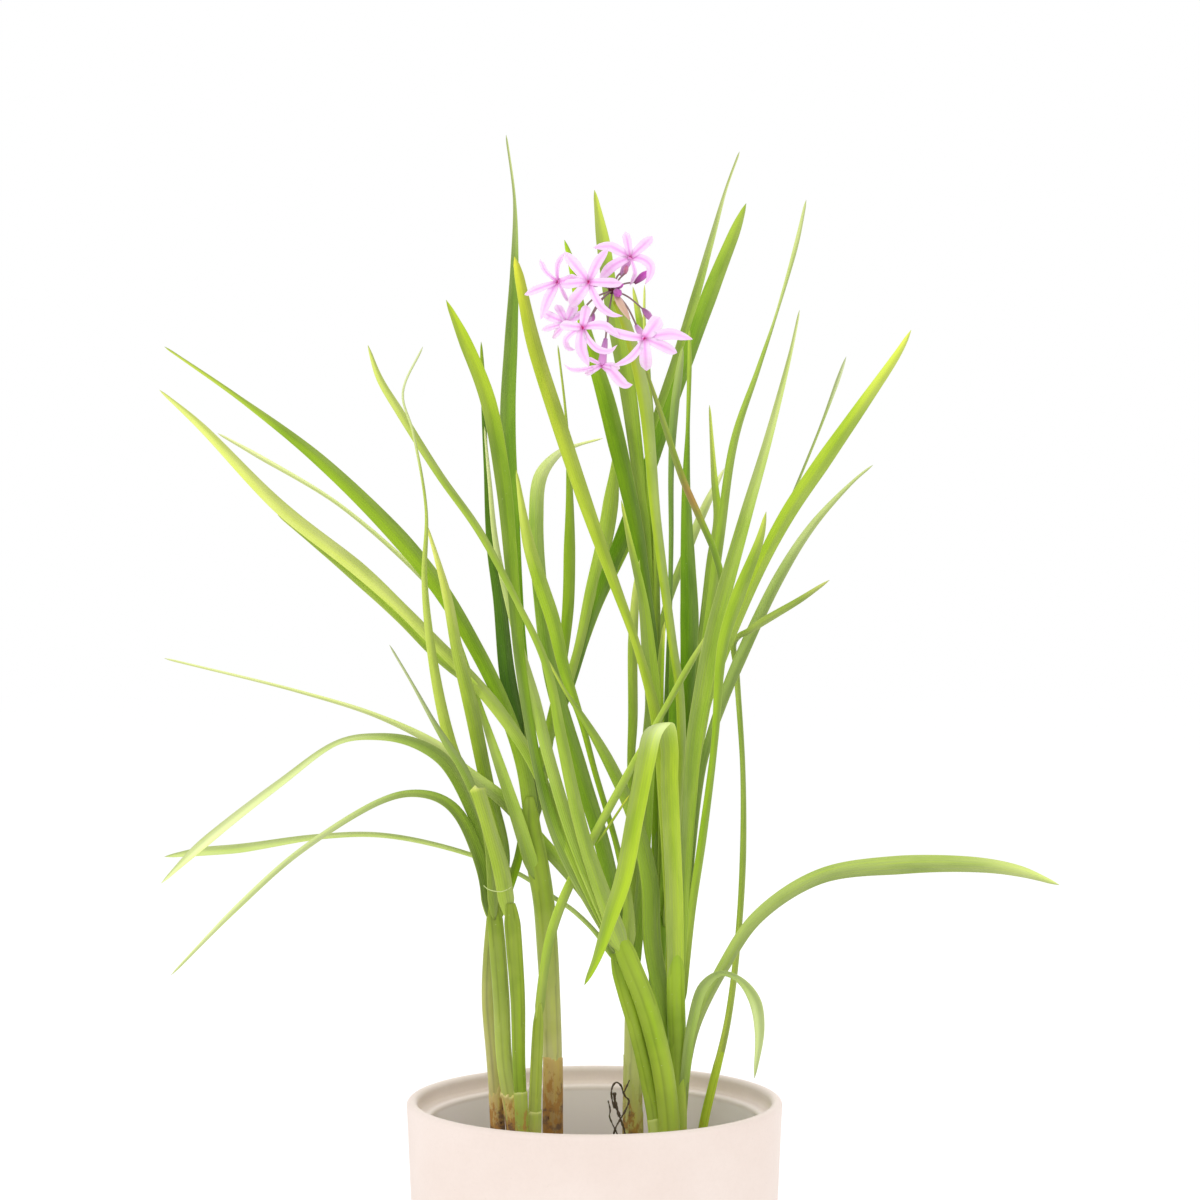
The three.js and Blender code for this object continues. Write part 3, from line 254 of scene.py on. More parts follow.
# The leafy stems. A route point is (across, depth, up, width). A leaf is its look, the turn in degrees
# of the blade away from facing the front at its base and at its tip, and its route. The tints are the
# sheath's at the soil, at the height of the rim, and where its leaves part. A dry sleeve is which sheath
# it is on, the height of its rim, its slant, how ragged it is, how far it curls out, how pale its rim is,
# its colours low and high, and its stain.
STEMS = {
    "left_back": {
        "tints": ((190, 166, 112), (196, 190, 132), (146, 160, 66)),
        "stain": 0.8,
        "sheaths": [
            [(-29, 0, 67, 4.2), (-29, 0, 97, 4.2), (-30.4, 0.5, 117.5, 4), (-32, 1.5, 136, 3.7),
             (-31.7, 2.5, 148, 3.6), (-30.5, 3.5, 160, 4), (-29.5, 4.5, 170, 4)],
        ],
        "sleeves": [(0, 109, 1.5, 1, 0.05, 0.1, (196, 152, 96), (206, 188, 128), 1.15)],
        "leaves": [
            ("hair_pale", 10, 30, [(-31.5, 3.5, 160, 4), (-35, 6, 190, 3.6), (-43.5, 4.5, 214, 3.6),
             (-48.5, 1, 238, 2.8), (-51, -6, 262, 1.8), (-50.5, -15, 283, 0.9), (-54.5, -25, 306.5, 0.8),
             (-57.5, -29, 318, 0.7), (-51.5, -34, 332, 0.6)]),
            ("yellow_green", 15, 22, [(-30, 4.5, 166, 3.6), (-27, 6, 178, 3.3), (-32.5, 7, 202, 4.2),
             (-37.5, -0.2, 226, 4.5), (-41, -0.8, 240, 3.6), (-44, -1, 256, 3), (-47, -4, 267.5, 1.7),
             (-50.5, -7, 279, 0.6)]),
            ("fresh", 10, 25, [(-30, 4, 158, 3.4), (-26, 6.5, 169, 3), (-23, 9.5, 178, 2.7),
             (-21.5, 11.5, 186, 2.4), (-20, 12.5, 195, 1.6), (-19, 13, 202, 0.6)]),
        ],
    },
    "left_middle": {
        "tints": ((202, 176, 118), (178, 190, 104), (140, 158, 56)),
        "stain": 0.7,
        "sheaths": [
            [(-23.7, -9, 67, 4.8), (-24, -9, 97, 4.8), (-27, -9, 118, 4.8), (-27.9, -8.5, 136, 5),
             (-29, -8, 151, 5), (-30.3, -7.5, 166, 4.6)],
        ],
        "sleeves": [(0, 109.5, -0.6, 0.6, 0.45, 0.8, (200, 160, 102), (216, 196, 130), 1.3)],
        "leaves": [
            ("arch", 15, 50, [(-31, -7.5, 160, 4.4), (-33.5, -8, 175, 3.8), (-40.5, -9, 191.5, 3.5),
             (-46.5, -10, 196.5, 2.7), (-55, -12, 198, 2.1), (-64.5, -14.5, 195.5, 1.9),
             (-88.5, -20, 180.5, 1.8), (-106.5, -24, 164.5, 1.8), (-127, -29, 143.5, 0.6)]),
            ("arch", 10, 45, [(-30.5, -7, 160, 4.4), (-31, -6.5, 177, 3.8), (-35, -6.5, 188.5, 3.6),
             (-42, -7, 203.5, 3.9), (-46.5, -8, 209, 3.9), (-55, -9.5, 213.5, 3), (-64.5, -11, 215, 2.1),
             (-76.5, -14, 213.5, 1.5), (-94.5, -18, 201, 2.4), (-118.5, -24, 182, 3.2),
             (-130, -27, 171, 0.6)]),
            ("hair_grey", 20, 30, [(-30, -8.5, 160, 3.5), (-32.5, -10.5, 187, 2.4), (-39.5, -11.5, 205.5, 3),
             (-44, -12, 212.5, 2.4), (-48, -13, 219, 1.5), (-55, -16.5, 231.5, 0.8),
             (-61.5, -20, 242.5, 0.6)]),
        ],
    },
    "left_front": {
        "tints": ((156, 160, 66), (136, 160, 46), (142, 158, 60)),
        "sheaths": [
            [(-21.2, -16, 67, 3.7), (-21.7, -16, 97, 3.7), (-22.6, -16, 118, 3.9), (-22.9, -16, 136, 4.4),
             (-23.9, -15.5, 151, 4.9), (-25, -15.5, 165, 5)],
        ],
        "sleeves": [(0, 111.7, 0, 0.12, 0.05, 0.3, (164, 166, 82), (168, 182, 88), 0.5)],
        "leaves": [
            ("stub", 10, 10, [(-25.6, -15.5, 160, 4.8), (-28, -15.5, 175, 5.2), (-31.4, -16, 187, 4.3),
             (-34.5, -16.5, 197.5, 4.4), (-35.3, -16.5, 200, 5.2)]),
        ],
    },
    "slim": {
        "tints": ((178, 192, 104), (180, 196, 92), (160, 176, 62)),
        "sheaths": [
            [(-18, -8, 67, 3.7), (-18, -8, 97, 3.8), (-17.5, -8.5, 112, 3.7), (-17, -9.5, 124, 3.5),
             (-16.5, -10.5, 135, 2.8)],
        ],
        "sleeves": [(0, 104.2, 0.2, 0.25, 0.08, 0.5, (196, 186, 112), (188, 204, 108), 0.25)],
        "leaves": [
            ("slim", 10, 25, [(-17, -10, 128, 3), (-15.5, -11, 142, 2.9), (-13.5, -11.5, 154, 3.1),
             (-9.5, -12, 166, 3), (-1.5, -12.5, 182.5, 2.7), (9, -12.5, 202, 2.5), (19.5, -10.5, 220.5, 1.9),
             (28.5, -6, 236.5, 2.1), (35, -2, 247.5, 0.6)]),
        ],
    },
    "brown_base": {
        "tints": ((186, 156, 104), (212, 208, 146), (156, 176, 66)),
        "stain": 0.7,
        "sheaths": [
            [(-12, 4, 67, 5.9), (-12.5, 4, 97, 5.9), (-12.5, 4, 118, 5.7), (-13.2, 4, 136, 6.1),
             (-14, 4, 151, 6.4), (-15.2, 4, 166, 6.4), (-17.2, 3.5, 178, 6.8), (-19, 3.2, 188, 6),
             (-19.5, 3.5, 197, 4.4)],
        ],
        "sleeves": [(0, 118.2, -0.3, 0.35, 0.02, 0, (166, 128, 94), (212, 182, 116), 0.7)],
        "leaves": [
            ("pale_thin", 10, 30, [(-17.5, 1.5, 172, 4.6), (-22.5, 0, 188.5, 4.2), (-28.5, 2.5, 206.5, 3.3),
             (-34, 8, 223, 1.8), (-41, 11, 244, 1.5), (-45, 14.5, 254.5, 1.5), (-52.5, 18, 263.5, 1.5),
             (-76.5, 27, 284.5, 1.2), (-100.5, 35, 299, 1.5), (-113, 39, 306, 0.6)]),
            ("broad", 10, 22, [(-18, 3.5, 184, 5), (-21.5, 4, 207, 4.6), (-28, 5, 226, 4.4),
             (-37, 7, 244, 4.5), (-46.5, 10, 259.5, 5.1), (-58.5, 14, 274.5, 5.4), (-82.5, 21, 298, 3.9),
             (-106.5, 29, 316.5, 1.5), (-129, 35, 332, 0.6)]),
            ("deep", 5, 20, [(-18, 5, 186, 5), (-20.5, 7.5, 208, 4), (-25.9, 11, 232, 5),
             (-28.5, 13, 256, 3.9), (-31, 14, 272.5, 2.9), (-32.5, 15, 295, 1.4), (-33.5, 17, 322, 1.6),
             (-34, 17.5, 333.5, 0.6)]),
            ("hair_dark", 15, 25, [(-17.5, 6, 190, 4.6), (-20, 8, 223, 2.8), (-22.5, 7.5, 250, 3),
             (-24.5, 6.5, 280, 4.2), (-26, 6, 310, 4.8), (-25, 6.5, 334, 4), (-24, 7.5, 356, 2.5),
             (-24, 9, 376, 0.9), (-26.5, 11, 395.5, 0.6)]),
            ("fresh", 10, 30, [(-18, 5.5, 190, 4.6), (-14, 10, 214, 3.6), (-10.5, 13, 232, 2.6),
             (-8, 17, 253, 3.6), (-7.5, 20, 271, 3.6), (-7.5, 23, 289, 2.1), (-8.5, 27, 310.5, 0.8),
             (-11, 31, 332.5, 0.6)]),
            ("dark", 10, 20, [(-18.5, 5, 188, 4.6), (-15, 9.5, 211, 3.6), (-8, 13.5, 229, 3.2),
             (-1.5, 18.5, 250, 3.9), (11.3, 25, 282, 5.1), (24, 32, 317.5, 3.9), (34.5, 38, 347.5, 5),
             (42.5, 42.5, 367.5, 3.3), (45.5, 45, 375, 0.6)]),
            ("grey", 20, 30, [(-10, 12.5, 223, 3), (0, 19.5, 252, 2.8), (13, 28, 281, 2.6),
             (18, 33, 308.5, 2.3), (25, 39, 329.5, 3), (30, 43, 346, 2.9), (35.5, 48, 365.5, 1.8),
             (39.5, 52, 379.5, 0.8), (43.5, 56, 390.5, 0.6)]),
            ("slim", 15, 25, [(-11, 12, 221, 3), (-5, 15.5, 241, 2.7), (-1, 19.5, 259, 3.6), (3, 22, 274, 5),
             (5, 23.5, 286, 4.8), (6, 25, 295, 2.6), (7, 26, 307, 0.6)]),
        ],
    },
    "pale": {
        "tints": ((204, 190, 128), (208, 212, 140), (172, 186, 88)),
        "stain": 0.6,
        "sheaths": [
            [(11.5, 8, 67, 6.1), (11.5, 8, 97, 6.1), (11.5, 8, 118, 5.4), (11.5, 8, 136, 4.8),
             (11.5, 8, 160, 3.6)],
        ],
        "sleeves": [(0, 109.5, -9, 0.6, 0.05, 0.1, (206, 180, 120), (204, 208, 134), 0.75)],
        "leaves": [
            ("light", 10, 20, [(11.5, 8, 148, 4), (11.5, 8, 181, 3), (11, 8, 208, 2.4), (11.5, 8, 220, 3),
             (11.5, 8.5, 244, 3), (12.5, 10, 259, 2.4), (13.5, 11, 268, 0.6)]),
            ("grey_green", 15, 20, [(11.5, 7.5, 142, 4), (15, 5, 181, 3.6), (16.5, 4.5, 214, 4.4),
             (17.5, 4.5, 226, 4.8), (16.5, 5, 238, 4.8), (14.5, 6, 256, 3), (10.5, 7.5, 274, 1.8),
             (8, 9, 286, 0.6)]),
        ],
    },
    "leaning": {
        "tints": ((182, 194, 104), (160, 182, 62), (146, 170, 50)),
        "sheaths": [
            [(23, -16, 67, 6.4), (22.5, -16, 97, 6.4), (21, -16, 112, 6.6), (18.5, -16, 124, 6.6),
             (15, -15.5, 136, 6.6), (11, -15, 146, 6.4), (7, -14.5, 156, 6)],
            [(18.5, -13, 67, 4.6), (18.5, -13, 97, 4.6), (16, -12.5, 112, 4.6), (12.5, -12.5, 127, 4.5),
             (9, -12.5, 139, 4.5), (6, -12.5, 150, 4.4)],
        ],
        "sleeves": [(1, 103.2, 0, 0.1, 0.02, 0.2, (190, 200, 112), (194, 208, 114), 0.05)],
        "leaves": [
            ("crossing", 10, 25, [(9, -14.5, 150, 6), (-4.5, -16, 175.5, 4), (-14.5, -14, 199, 3.6),
             (-20, -11, 210, 3.6), (-28.5, -4.5, 222.5, 3.9), (-37.5, 6.2, 233, 3.9), (-46.5, 8.5, 242, 3.7),
             (-58.5, 9.5, 254, 3.6), (-70.5, 13, 265, 4.5), (-94.5, 20, 284, 4.2), (-118.5, 27, 308.5, 2.4),
             (-130.5, 30, 319, 0.6)]),
            ("slim", 20, 20, [(-34, 3, 229, 3), (-46.5, 9.8, 238.5, 2.6), (-58.5, 11, 251, 3.2),
             (-70.5, 14.5, 262, 3.4), (-82.5, 18, 272, 2.4), (-95, 22, 281.5, 0.6)]),
            ("light", 15, 30, [(9, -15, 150, 6), (-3, -19.5, 184, 4.2), (-9.5, -21.5, 212.5, 3.6),
             (-14.5, -22, 236.5, 2.4), (-23, -22, 255, 1.8), (-34.5, -22, 276.5, 2.4),
             (-46.5, -21, 293.5, 2.4), (-58.5, -19, 312.5, 2.6), (-64.5, -18, 322.5, 2.1),
             (-68, -17, 332.5, 0.6)]),
            ("pale_thin", 20, 25, [(9, -15, 150, 6), (-6, -18, 184, 4), (-13.5, -17, 208, 3.6),
             (-18, -15.5, 226, 3.6), (-23, -15, 244, 2.4), (-29.5, -15, 272.5, 1.8), (-31.5, -15, 292, 1.2),
             (-33, -15, 308, 0.6)]),
            ("mid", 10, 18, [(9, -14.5, 150, 6), (-8, -16, 178, 3.8), (-13, -16.5, 190, 3.6),
             (-17.5, -17, 208, 3), (-22, -18, 235, 3.4), (-24.3, -18, 259, 3.8), (-27.5, -18, 292, 4.8),
             (-32, -18, 316, 4.8), (-39, -17.5, 334, 4), (-44.5, -17, 346, 0.8)]),
            ("fresh", 15, 25, [(10, -14, 150, 5.5), (10, -8, 166, 3), (7, -3, 181, 1.8), (0, -0.5, 205, 1.8),
             (-4, 0, 220, 2), (-9, 0, 235, 3.6), (-12.5, -0.5, 250, 4.4), (-16.5, -1, 262, 4.5),
             (-20, -1.5, 274, 3.6), (-23.5, -2, 295, 0.7)]),
            ("arched_top", 5, 25, [(8, -13.5, 150, 6), (3.5, -3, 178, 4.8), (-4.5, 1.5, 205, 5.1),
             (-12.5, 4, 232, 5), (-16, 5, 256, 4.5), (-17.5, 6.5, 280, 4.5), (-16, 8, 293.5, 4.2),
             (-10, 9.5, 300.5, 1.9), (-5, 10.5, 302.5, 0.9), (2.5, 12, 304.5, 0.6)]),
            ("thin_yellow", 10, 30, [(9, -13, 148, 4.4), (1.5, -6, 161.5, 3.9), (-4.5, 0, 170.5, 4.2),
             (-16.5, 8.5, 184, 4.2), (-22, 7, 190.5, 4.2), (-28.5, 3, 197, 4.2), (-39.5, 0, 205.5, 3.3),
             (-46.5, -1.5, 212, 2.7), (-64.5, -2, 221, 1.5), (-88.5, 0, 228.5, 1), (-129, 4, 238.5, 0.6)]),
            ("thin_grey", 20, 40, [(7, -13, 147, 3), (1, -8, 155.5, 1.4), (-6, 0, 162.5, 1.4),
             (-12.5, 9, 167, 1.3), (-23, 15, 174, 1.3), (-43.5, 18, 181.5, 1.4), (-64.5, 20, 185.5, 1.5),
             (-82.5, 21, 185, 1.6), (-106.5, 23, 181.5, 2.7), (-118.5, 24, 180.5, 2.6),
             (-129, 25, 179, 0.6)]),
        ],
    },
    "upright": {
        "tints": ((182, 194, 104), (164, 186, 72), (148, 176, 54)),
        "sheaths": [
            [(25, -5, 67, 5.7), (25, -5.5, 97, 5.7), (25, -7, 118, 5.6), (24.5, -9, 136, 5.6),
             (24.5, -11, 151, 5.2)],
        ],
        "folded": [(24.5, -9, 136, 5.2), (24, -14, 166, 5.4), (23, -17.5, 190, 5.4), (22.5, -19.5, 202, 5.4),
            (22.5, -22, 212, 5.4), (21, -27, 218.5, 5.6), (17.5, -32, 216, 6), (15.5, -34.5, 208, 5.8),
            (12, -38.5, 190, 5.4), (8.5, -41.5, 172, 5.3), (4.5, -43, 160, 4.5), (0.5, -44, 148, 2.6),
            (-3, -44.5, 140.5, 1)],
        "leaves": [
            ("grey_green", 10, 25, [(24, -7, 122, 5), (17.5, -6, 152, 5.6), (16.5, -6, 172, 5.4),
             (11.5, -6, 191.5, 4.2), (4, -7, 208, 3.6), (-3, -8.5, 220, 2.1), (-9, -10.5, 229, 1),
             (-14.5, -13, 239, 0.6)]),
            ("yellow", 15, 20, [(24, -9, 146, 4), (21, -6, 196, 4), (18.6, -6, 220, 3.6),
             (12.6, -6, 242.5, 2.4), (5.6, -6, 262, 3.3), (-3, -6, 286, 4.4), (-11, -6, 310, 4.8),
             (-18.5, -5, 334, 4.5), (-23, -4.5, 355, 2.7), (-24, -4.5, 359, 0.8)]),
            ("grey", 10, 22, [(24.5, -9, 136, 4.4), (28, -13.5, 188.5, 4.2), (30, -15.5, 214, 5.1),
             (32.5, -16, 229, 5.5), (36, -17, 247, 5.4), (45, -19, 280, 4), (52, -21, 304, 2.7),
             (59, -23, 331, 1.1), (61.5, -24, 343, 0.6)]),
            ("bright", 15, 18, [(25, -8.5, 136, 4.4), (27.5, -10, 180, 3.6), (31, -11, 214, 3.6),
             (35, -12, 230.5, 3.7), (48, -14, 262.5, 4), (57.5, -16, 281, 4.8), (68.5, -18, 297.5, 5.1),
             (80, -20, 314, 4), (91, -22, 330, 2.4), (95, -23, 337, 0.7)]),
            ("fresh", 20, 25, [(25.5, -8, 132, 3.4), (29, -10.5, 162, 2.6), (32.5, -14, 185.5, 2.6),
             (36, -17.5, 213, 2.1), (38.5, -20.5, 242.5, 3.4), (43, -22.5, 257, 4.5), (49.5, -25, 274, 2.7),
             (51.5, -26, 282.5, 0.7)]),
            ("pale_hair", 20, 30, [(46, -13.7, 258, 3), (57, -13, 281.5, 1.3), (61.5, -10.5, 292.5, 0.8),
             (68, -8, 308.5, 0.8), (73, -6, 322, 1.4), (75.5, -5, 329, 0.6)]),
            ("dull", 10, 30, [(25.5, -9, 150, 3.6), (32.5, -9, 206.5, 2.4), (38, -7.5, 224.5, 3.3),
             (43.5, -6.5, 238, 3.9), (55.5, -5, 263, 3.5), (65.5, -4, 278.5, 2.5), (77.5, -3, 291.5, 1),
             (83.5, -2, 296.5, 0.6)]),
            ("grey_arch", 15, 35, [(25.5, -6, 96, 3.6), (28, -9, 118, 2.6), (31, -11, 130, 3),
             (39, -12.5, 146.5, 4), (49, -13, 161, 4.3), (67.5, -14, 173, 4.9), (91.5, -16, 176.5, 6.2),
             (115.5, -18, 176.5, 4.9), (128, -19, 174.5, 3.6), (139.5, -20, 170.5, 0.7)]),
            ("pale_droop", 20, 30, [(26, -7, 104, 3), (29.5, -12, 130, 3.3), (33, -16.5, 140.5, 3.4),
             (38, -19, 144, 1.6), (43.5, -21, 142, 2.1), (48, -22.3, 136, 3.9), (49.5, -23, 127, 3),
             (48, -23.5, 112.5, 0.6)]),
        ],
    },
    "right_back": {
        "tints": ((160, 176, 86), (138, 166, 54), (122, 154, 42)),
        "sheaths": [
            [(20, 12, 67, 6), (20, 12, 97, 6), (20, 12, 125, 6), (19.5, 12, 145, 6.2), (19.5, 12, 164, 5.6)],
        ],
        "leaves": [
            ("vivid", 5, 20, [(19, 12, 150, 5), (19, 12.5, 196, 3.6), (18.5, 13.5, 236.5, 2.2),
             (16, 14.5, 256, 3), (12, 15, 280, 4.5), (6.5, 15, 304, 5.7), (3.5, 15, 316, 5.4),
             (-3.5, 16, 340, 3.4), (-7, 16.5, 357.5, 2.2), (-9, 17, 364, 0.8)]),
            ("grey_green", 10, 20, [(19.5, 12, 150, 5), (19.5, 13, 200, 3), (16, 17, 271, 2.4),
             (13.5, 19, 292, 4), (10, 21, 319, 5.1), (5.5, 23, 343, 4.6), (2.5, 25, 364, 4.3),
             (0, 26, 379, 0.8)]),
            ("fresh", 15, 30, [(19.5, 12.5, 158, 4), (18.5, 15, 230, 3), (16.5, 20, 301, 2.6),
             (15, 22.5, 332.5, 2.4), (13.5, 23.5, 340, 2.4), (11.5, 25, 350, 0.7)]),
            ("light", 15, 30, [(19, 12.5, 158, 4), (19, 15, 230, 2.4), (17.5, 19, 307, 1.2),
             (15, 20.5, 338.5, 1), (15, 21.5, 350.5, 0.6)]),
            ("olive", 10, 40, [(21, 11, 158, 3), (28.5, 8, 196, 2.4), (36, 4, 238, 2.2), (38.3, 0, 260, 2.1),
             (36.2, -2, 269.8, 2.1), (31.2, -2, 281.5, 2.2), (26.6, -2, 292, 2.2), (20.5, 0, 310, 1.8),
             (15, 1.5, 326.5, 0.7)]),
            ("flecked", 20, 60, [(20, 12, 158, 4), (22.5, 14, 248.5, 1.4), (23, 15.5, 274, 1.5),
             (23, 17, 295, 1.8), (24, 18.5, 313, 2.7), (25.5, 19.5, 325, 2.4), (26.5, 20, 332, 0.8)]),
            ("dark", 10, 30, [(20.5, 12, 156, 5), (27, 13, 200, 3), (28, 14, 232, 4.6), (28.5, 15, 250, 5.9),
             (28, 16, 268, 4.6), (27.5, 17.5, 289, 2.7), (28, 18.5, 308, 1.2), (28.5, 20, 327, 1.5),
             (28.5, 21, 337.5, 0.7)]),
            ("fresh", 15, 25, [(21, 12, 158, 4), (29, 15, 215, 3.6), (32.5, 17, 241, 4.2),
             (35.5, 20, 268, 3.9), (37, 21, 280, 2.8), (36, 22, 292, 2.1), (34.5, 24, 314.5, 0.6)]),
            ("grey", 20, 35, [(21, 12, 160, 4), (31, 11.5, 225, 3), (37.5, 12, 274, 2.9),
             (42, 13.5, 304, 2.5), (49, 15.5, 325, 1.5), (54.5, 17, 341.5, 0.8), (60.5, 19, 362.5, 1.5),
             (63.5, 20.5, 376, 0.7)]),
            ("pale_thin", 20, 30, [(19.5, 13, 164, 3), (19, 15.5, 230, 2.2), (21, 18, 251.5, 2.4),
             (28.5, 22, 272.5, 2.7), (33.5, 24, 284.5, 2.7), (39, 26, 295.5, 0.8)]),
            ("bright", 20, 25, [(20.5, 12, 160, 3), (20, 11.5, 215, 1.6), (20, 10.5, 238, 2.1),
             (21, 10.5, 249.5, 0.7)]),
            ("dark", 15, 20, [(21, 11.5, 160, 4), (24.5, 10.5, 221.5, 4.8), (24, 11, 232, 3.6),
             (23, 12, 250, 0.7)]),
        ],
    },
    "far_right": {
        "tints": ((184, 202, 64), (180, 200, 62), (168, 188, 74)),
        "sheaths": [
            [(29.5, 3, 67, 2.8), (32.5, 2, 97, 2.8), (35.5, 1.5, 110.5, 2.6), (38.5, 1, 122.5, 2.4)],
        ],
        "leaves": [
            ("far", 10, 25, [(35.5, 1.5, 110.5, 2.6), (40, 0.5, 130, 2.1), (43, 0, 154, 1.9),
             (44.5, 0, 178, 2), (44.5, -0.5, 205, 1.6), (43, -1.5, 229, 1.8), (42.5, -2, 236, 1.8),
             (41.7, -4.5, 242.5, 1.8), (43.5, -8, 245.3, 1.8), (46, -10.5, 246.5, 2),
             (50.5, -11.5, 249.5, 2.6), (61.5, -14, 256, 2), (67.5, -15.5, 260, 1.2),
             (70.5, -16, 262, 0.6)]),
        ],
    },
}
FLOWER_STEM = [(22.5, 3.5, 67, 3.4), (22.5, 3.5, 136, 3.2), (24, 3, 175, 3), (26, 2, 205, 2.8),
    (25.5, 0.5, 229, 2.7), (23.5, -0.5, 242.5, 2.6), (18.5, -4, 280, 3), (15, -7.5, 316, 4),
    (10, -9.5, 337, 3.4), (6.5, -11, 346, 2.6)]
FLOWER_STEM_DEPTH = 2.6
FLOWER_STEM_GREEN = colour(160, 176, 100)
FLOWER_STEM_STRIPE = colour(168, 190, 48)
STRIPE_START = 0.3
STRIPE_RISE = 1.4

# For each floret its throat, how far it turns to the front, and its petals. A petal is its width and
# the points (across, up) that it passes on its way from the throat to its tip.
FLORETS = [
    ((10.7, -15, 358.8), 0.6, [
        (2.6, (9.3, 366.4)), (3, (17.4, 365)), (2.8, (16, 357.6), (17, 354.6), (15.2, 350.8)),
        (1.3, (12.2, 354), (10.6, 350.4)), (3.2, (6, 356.6), (1.6, 352.4)),
        (3, (4.4, 362.1), (-0.3, 361.6))]),
    ((-1.8, -24, 351.4), 0.6, [
        (3.3, (-5.6, 356.3), (-9.1, 360.4)), (2.9, (0.8, 357.2), (4.1, 361.4)), (3, (8.2, 351)),
        (2.5, (1.6, 344.4), (4.4, 342), (8.4, 341.2)), (3.8, (-7.4, 344.1)), (2.9, (-10, 350.6))]),
    ((-11, -18, 351.4), 0.6, [
        (1.6, (-14.7, 354.6), (-16.3, 358.2)), (1.6, (-11.2, 356.2), (-9.2, 360)),
        (2.3, (-16.2, 349.6), (-21, 347.6)), (3.1, (-14, 346.2), (-16.1, 340.2)), (1.2, (-8, 345.6)),
        (2.8, (-4.5, 352.8))]),
    ((-8.4, -17, 339.2), 0.6, [
        (1.9, (-15.8, 337)), (2.8, (-12.4, 340.7), (-15.4, 342.3)), (2.6, (-11.4, 344.6)),
        (3, (-5.8, 344.8)), (2.4, (-2.8, 342.4)), (2, (-12.6, 334.6))]),
    ((-3.6, -26, 337.8), 0.6, [
        (3, (-2.4, 344.4)), (2.7, (2.6, 338.4), (7.6, 335)),
        (2.2, (-0.9, 332.8), (2, 330.8), (5, 330.8), (6.8, 332.5)), (3.5, (-4, 331.6), (-1.6, 326.2)),
        (1.9, (-7.8, 335.2), (-8.9, 332.4), (-5.8, 331)), (3, (-10.4, 338.6))]),
    ((15, -24, 334.5), 0.6, [
        (4.6, (19.6, 340.8)), (3.4, (22.8, 335.8), (29.4, 334.2)), (3.1, (20.4, 332.2), (24.7, 330.1)),
        (3.8, (15.6, 324.8)), (2.5, (12.1, 329.8), (9.3, 327.6), (5.4, 326.2)),
        (2.9, (8.4, 335.6), (1.6, 338.2))]),
    ((2.2, -14, 326.6), 0.05, [
        (1.4, (-3.6, 325.1), (-6.8, 325.1), (-9.2, 326.7)), (2.2, (-2.8, 323.8)),
        (3.2, (5.7, 324.2), (8.4, 320.9), (11.4, 320.6)), (2.2, (7.6, 325.8)), (1.4, (-2.2, 328.6))]),
]

# Buds as (root, tip, width, colour of the root, colour of the tip), each on a stalk from the knob
BUDS = [
    ((9.2, -13, 353.8), (9.7, -13.6, 356.4), 1.4, (170, 110, 120), (208, 136, 158)),
    ((12, -11, 351), (16.3, -11.5, 354.8), 2.1, (110, 60, 88), (216, 90, 204)),
    ((14.5, -13, 343.4), (17.3, -14, 339.9), 2.1, (140, 92, 126), (190, 128, 182)),
    ((-0.4, -15, 342.2), (-0.7, -16, 339.4), 1.5, (128, 84, 118), (196, 104, 184)),
    ((6.4, -13, 349.5), (8.7, -14, 350.7), 1.4, (128, 84, 118), (196, 96, 184)),
    ((6.2, -12.5, 348.7), (7.6, -15, 347.6), 2.6, (128, 84, 118), (196, 96, 184)),
]

# The knob, the petals, the buds and the stalks of the umbel
KNOB = (5.5, -11.5, 349)
KNOB_RADIUS = 1.4
KNOB_SQUAT = 0.85
KNOB_LUMPS = 0.16
KNOB_LEVELS = 14
KNOB_SIDES = 18
KNOB_TINT = colour(84, 28, 44)
PETAL_LENGTH = 12
PETAL_SWEEP_BACK = 5
PETAL_THICKNESS = 0.3
PETAL_NARROWEST = 0.08
PETAL_STEP = 0.55
PETAL_SIDES = 14
PETAL_ROLL = 16
PETAL_ROOT_IN = 0.3
PETAL_ROOT_REACH = 1.6
PETAL_BOW = 1
PETAL_GROOVE = 0.12
PETAL_GROOVE_WIDTH = 0.22
PETAL_LINE_WIDTH = 0.2
PETAL_SHIFT = (-0.05, 0.04)
PETAL_CUP = 0.28
PETAL_WAVE = 0.1
PETAL_TURN_SHARE = 0.35
PETAL_SHARES = (0, 0.3, 0.55, 0.8, 1)
PETAL_SHAPE_AT = (0, 0.1, 0.25, 0.45, 0.65, 0.82, 0.93, 1)
PETAL_SHAPE = (0.5, 0.66, 0.92, 1.06, 0.96, 0.68, 0.34, 0.05)
PETAL_PALE = colour(251, 216, 251)
PETAL_LINE = colour(232, 154, 224)
PETAL_DEEP_LINE = colour(232, 150, 230)
PETAL_THROAT = colour(226, 120, 196)
TUBE_LENGTH = 8
TUBE_AT = (0, 0.3, 0.7, 1)
TUBE_WIDTHS = (1.1, 1.8, 2.1, 2.5)
TUBE_SIDES = 18
TUBE_RIBS = 0.07
TUBE_ROOT = colour(168, 120, 168)
TUBE_MOUTH = colour(226, 160, 218)
CROWN_SIDES = 24
CROWN_LOBES = 0.16
CROWN_PROFILE = [
    (0.82, -0.5, colour(244, 190, 236)),
    (0.78, 0.1, colour(240, 166, 224)),
    (0.62, 0.4, colour(230, 118, 198)),
    (0.5, 0.42, colour(232, 84, 164)),
    (0.4, 0.3, colour(226, 52, 134)),
    (0.26, 0.1, colour(206, 26, 104)),
]
PEDICEL_WIDTH = 0.55
PEDICEL_BOW = 1.5
PEDICEL_TINT = colour(146, 118, 126)
STALK_STEP = 0.7
BUD_AT = (0, 0.25, 0.55, 0.8, 1)
